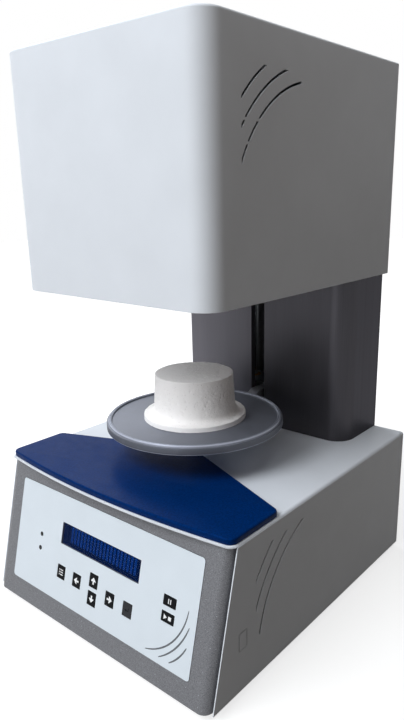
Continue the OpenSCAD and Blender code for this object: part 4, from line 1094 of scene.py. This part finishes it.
# Name, place, aim, size, power and tint
LAMPS = [
    ("window", (-0.9, -2.3, 0.7), (0, 0, 0.33), 1.5, 7, (0.96, 0.98, 1)),
    ("room", (0.3, -2.5, 0.55), (0, 0, 0.33), 0.8, 11, (0.98, 0.99, 1)),
    ("ceiling", (-0.7, -2.85, 3.6), (0, 0, 0.3), 2.4, 166, (0.95, 0.975, 1)),
    ("rear window", (-1.5, 0.5, 1.7), (0, 0, 0.3), 1.2, 20, (0.94, 0.97, 1)),
    ("right ceiling", (0.45, -0.1, 2.5), (0, 0, 0.3), 1.0, 8, (0.94, 0.97, 1)),
    ("right wall", (0.85, -0.1, 0.95), (0.15, 0, 0.6), 0.5, 0.48, (1, 0.88, 0.78)),
]
AMBIENT, AMBIENT_TINT = 0.02, (1, 0.91, 0.82)
FLOOR_TINT, FLOOR_SEEN = (0.1, 0.085, 0.07), (0.4, 0.4, 0.4)
FLOOR_NEAR, FLOOR_FAR, FLOOR_GLOW = 0.35, 1.0, 0.7  # it glows less near the furnace
FLOOR_HALF, FLOOR_LINES = 6, 25


def make_camera():
    """Camera where the photograph was taken from, with the photograph's framing."""
    yaw, pitch, roll = (math.radians(a) for a in (CAMERA_YAW, CAMERA_PITCH, CAMERA_ROLL))
    level = Vector((-math.sin(yaw), math.cos(yaw), 0))
    forward = level * math.cos(pitch) - Vector((0, 0, math.sin(pitch)))
    right = Vector((math.cos(yaw), math.sin(yaw), 0))
    up = right.cross(forward)
    c, s = math.cos(roll), math.sin(roll)
    right, up = right * c + up * s, up * c - right * s
    data = bpy.data.cameras.new("camera")
    data.sensor_width = SENSOR
    data.lens = SENSOR * FOCAL_PIXELS / FRAME_TALL
    data.shift_x = (FRAME_WIDE / 2 - OPTICAL_AXIS[0]) / FRAME_TALL
    data.shift_y = (OPTICAL_AXIS[1] - FRAME_TALL / 2) / FRAME_TALL
    camera = bpy.data.objects.new("camera", data)
    turn = Matrix((right, up, -forward)).transposed()
    camera.matrix_world = Matrix.Translation(CAMERA_PLACE) @ turn.to_4x4()
    bpy.context.scene.collection.objects.link(camera)
    bpy.context.scene.camera = camera


def add_lamp(name, place, aim, size, power, tint):
    """A soft square lamp that shines from its place towards an aim."""
    data = bpy.data.lights.new(name, "AREA")
    data.size = size
    data.energy = power
    data.color = tint
    lamp = bpy.data.objects.new(name, data)
    lamp.visible_camera = False
    lamp.location = place
    way = Vector(aim) - Vector(place)
    lamp.rotation_euler = way.to_track_quat("-Z", "Y").to_euler()
    bpy.context.scene.collection.objects.link(lamp)


def make_floor():
    """Plain pale floor, which is near white for the camera and keeps the shadow."""
    f = Finish("floor", roughness=0.9, specular_ior_level=0.1, emission_color=(1, 1, 1))
    path = f.add("ShaderNodeLightPath").outputs
    seen = f.sums(path["Is Camera Ray"], path["Is Glossy Ray"], "MAXIMUM")
    f.join(f.shader.inputs["Base Color"], f.ramp(seen, (0, FLOOR_TINT), (1, FLOOR_SEEN)))
    glow = f.between(f.length(f.places), FLOOR_NEAR, FLOOR_FAR, FLOOR_GLOW, 1.0)
    f.join(f.shader.inputs["Emission Strength"], f.sums(seen, glow, "MULTIPLY"))
    t = np.linspace(-FLOOR_HALF, FLOOR_HALF, FLOOR_LINES)
    x, y = np.meshgrid(t, t, indexing="ij")
    points = np.stack([x, y, 0 * x], -1).reshape(-1, 3)
    mesh = bpy.data.meshes.new("floor")
    faces = grid_faces(FLOOR_LINES, FLOOR_LINES, False, False)
    mesh.from_pydata(points.tolist(), [], faces.tolist())
    mesh.materials.append(f.material)
    floor = bpy.data.objects.new("floor", mesh)
    bpy.context.scene.collection.objects.link(floor)
    floor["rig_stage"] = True


def make_world():
    """Soft room light, which the camera and mirrors see as plain white."""
    world = bpy.data.worlds.new("studio")
    bpy.context.scene.world = world
    world.use_nodes = True
    n = Nodes(world.node_tree)
    path = n.add("ShaderNodeLightPath").outputs
    seen = path["Is Camera Ray"]
    for ray in ("Is Glossy Ray", "Is Transmission Ray"):
        seen = n.sums(seen, path[ray], "MAXIMUM")
    sky = n.tree.nodes["Background"].inputs
    n.join(sky["Strength"], n.between(seen, 0, 1, AMBIENT, 1))
    n.join(sky["Color"], n.ramp(seen, (0, AMBIENT_TINT), (1, (1, 1, 1))))


# Operators


class FURNACE_OT_finishes(bpy.types.Operator):
    """Give every node of the frame its finish"""

    bl_idname = "furnace.finishes"
    bl_label = "Finishes"

    def execute(self, context):
        paint_frame()
        return {"FINISHED"}


class FURNACE_OT_sheet_metal(bpy.types.Operator):
    """Round the edges of the sheet metal, the panel and the lift's castings"""

    bl_idname = "furnace.sheet_metal"
    bl_label = "Sheet metal"

    def execute(self, context):
        soften_frame(context.scene.furnace_sizes)
        return {"FINISHED"}


class FURNACE_OT_work_plate(bpy.types.Operator):
    """Make the enamelled work plate"""

    bl_idname = "furnace.work_plate"
    bl_label = "Work plate"

    def execute(self, context):
        make_work_plate(context.scene.furnace_sizes)
        return {"FINISHED"}


class FURNACE_OT_platform(bpy.types.Operator):
    """Make the platform and its fibre plug"""

    bl_idname = "furnace.platform"
    bl_label = "Platform and plug"

    def execute(self, context):
        make_platform()
        make_plug(context.scene.furnace_sizes)
        return {"FINISHED"}


class FURNACE_OT_lead_screw(bpy.types.Operator):
    """Cut the thread of the lead screw"""

    bl_idname = "furnace.lead_screw"
    bl_label = "Lead screw"

    def execute(self, context):
        make_lead_screw(context.scene.furnace_sizes)
        return {"FINISHED"}


class FURNACE_OT_heating_coil(bpy.types.Operator):
    """Wind the heating coil in the muffle"""

    bl_idname = "furnace.heating_coil"
    bl_label = "Heating coil"

    def execute(self, context):
        make_heating_coil(context.scene.furnace_sizes)
        return {"FINISHED"}


class FURNACE_OT_panel(bpy.types.Operator):
    """Print the panel and make its display and lamps"""

    bl_idname = "furnace.panel"
    bl_label = "Panel, display and lamps"

    def execute(self, context):
        for make in (make_panel_print, make_display, make_lamps):
            make(context.scene.furnace_sizes)
        return {"FINISHED"}


class FURNACE_OT_keys(bpy.types.Operator):
    """Round the keys and lay their pictograms on them"""

    bl_idname = "furnace.keys"
    bl_label = "Keys"

    def execute(self, context):
        make_keys(context.scene.furnace_sizes)
        return {"FINISHED"}


class FURNACE_OT_rear(bpy.types.Operator):
    """Make the screws and the marks of the rocker at the rear"""

    bl_idname = "furnace.rear"
    bl_label = "Rear fittings"

    def execute(self, context):
        make_cover_screws()
        make_rocker_marks()
        return {"FINISHED"}


class FURNACE_OT_stage(bpy.types.Operator):
    """Set up the floor, the light and the camera"""

    bl_idname = "furnace.stage"
    bl_label = "Stage"

    def execute(self, context):
        make_floor()
        make_world()
        for lamp in LAMPS:
            add_lamp(*lamp)
        make_camera()
        context.scene.view_settings.view_transform = "Standard"
        return {"FINISHED"}


OPERATORS = [
    FURNACE_OT_finishes, FURNACE_OT_sheet_metal, FURNACE_OT_work_plate, FURNACE_OT_platform,
    FURNACE_OT_lead_screw, FURNACE_OT_heating_coil, FURNACE_OT_panel, FURNACE_OT_keys,
    FURNACE_OT_rear, FURNACE_OT_stage,
]


class FURNACE_PT_panel(bpy.types.Panel):
    """Lists the furnace's sizes, colours and pieces"""

    bl_idname = "FURNACE_PT_panel"
    bl_label = "Furnace"
    bl_space_type = "VIEW_3D"
    bl_region_type = "UI"
    bl_category = "Furnace"

    def draw(self, context):
        for settings in (context.scene.furnace_sizes, context.scene.furnace_colours):
            box = self.layout.box()
            for name in settings.bl_rna.properties.keys():
                if name not in {"rna_type", "name"}:
                    box.prop(settings, name)
        for operator in OPERATORS:
            self.layout.operator(operator.bl_idname)


CLASSES = [FurnaceColours, FurnaceSizes, *OPERATORS, FURNACE_PT_panel]


def register():
    """Registers the classes and the scene's settings."""
    for item in CLASSES:
        bpy.utils.register_class(item)
    bpy.types.Scene.furnace_colours = bpy.props.PointerProperty(type=FurnaceColours)
    bpy.types.Scene.furnace_sizes = bpy.props.PointerProperty(type=FurnaceSizes)


def unregister():
    """Takes the settings and the classes out again."""
    del bpy.types.Scene.furnace_sizes
    del bpy.types.Scene.furnace_colours
    for item in reversed(CLASSES):
        bpy.utils.unregister_class(item)


def main():
    """Makes every piece in order."""
    register()
    for operator in OPERATORS:
        group, name = operator.bl_idname.split(".")
        getattr(getattr(bpy.ops, group), name)()
    boxes = {"cad": CAD_BOX, "visual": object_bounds()}
    {name: [list(corner) for corner in box] for name, box in boxes.items()}


if __name__ == "__main__":
    main()
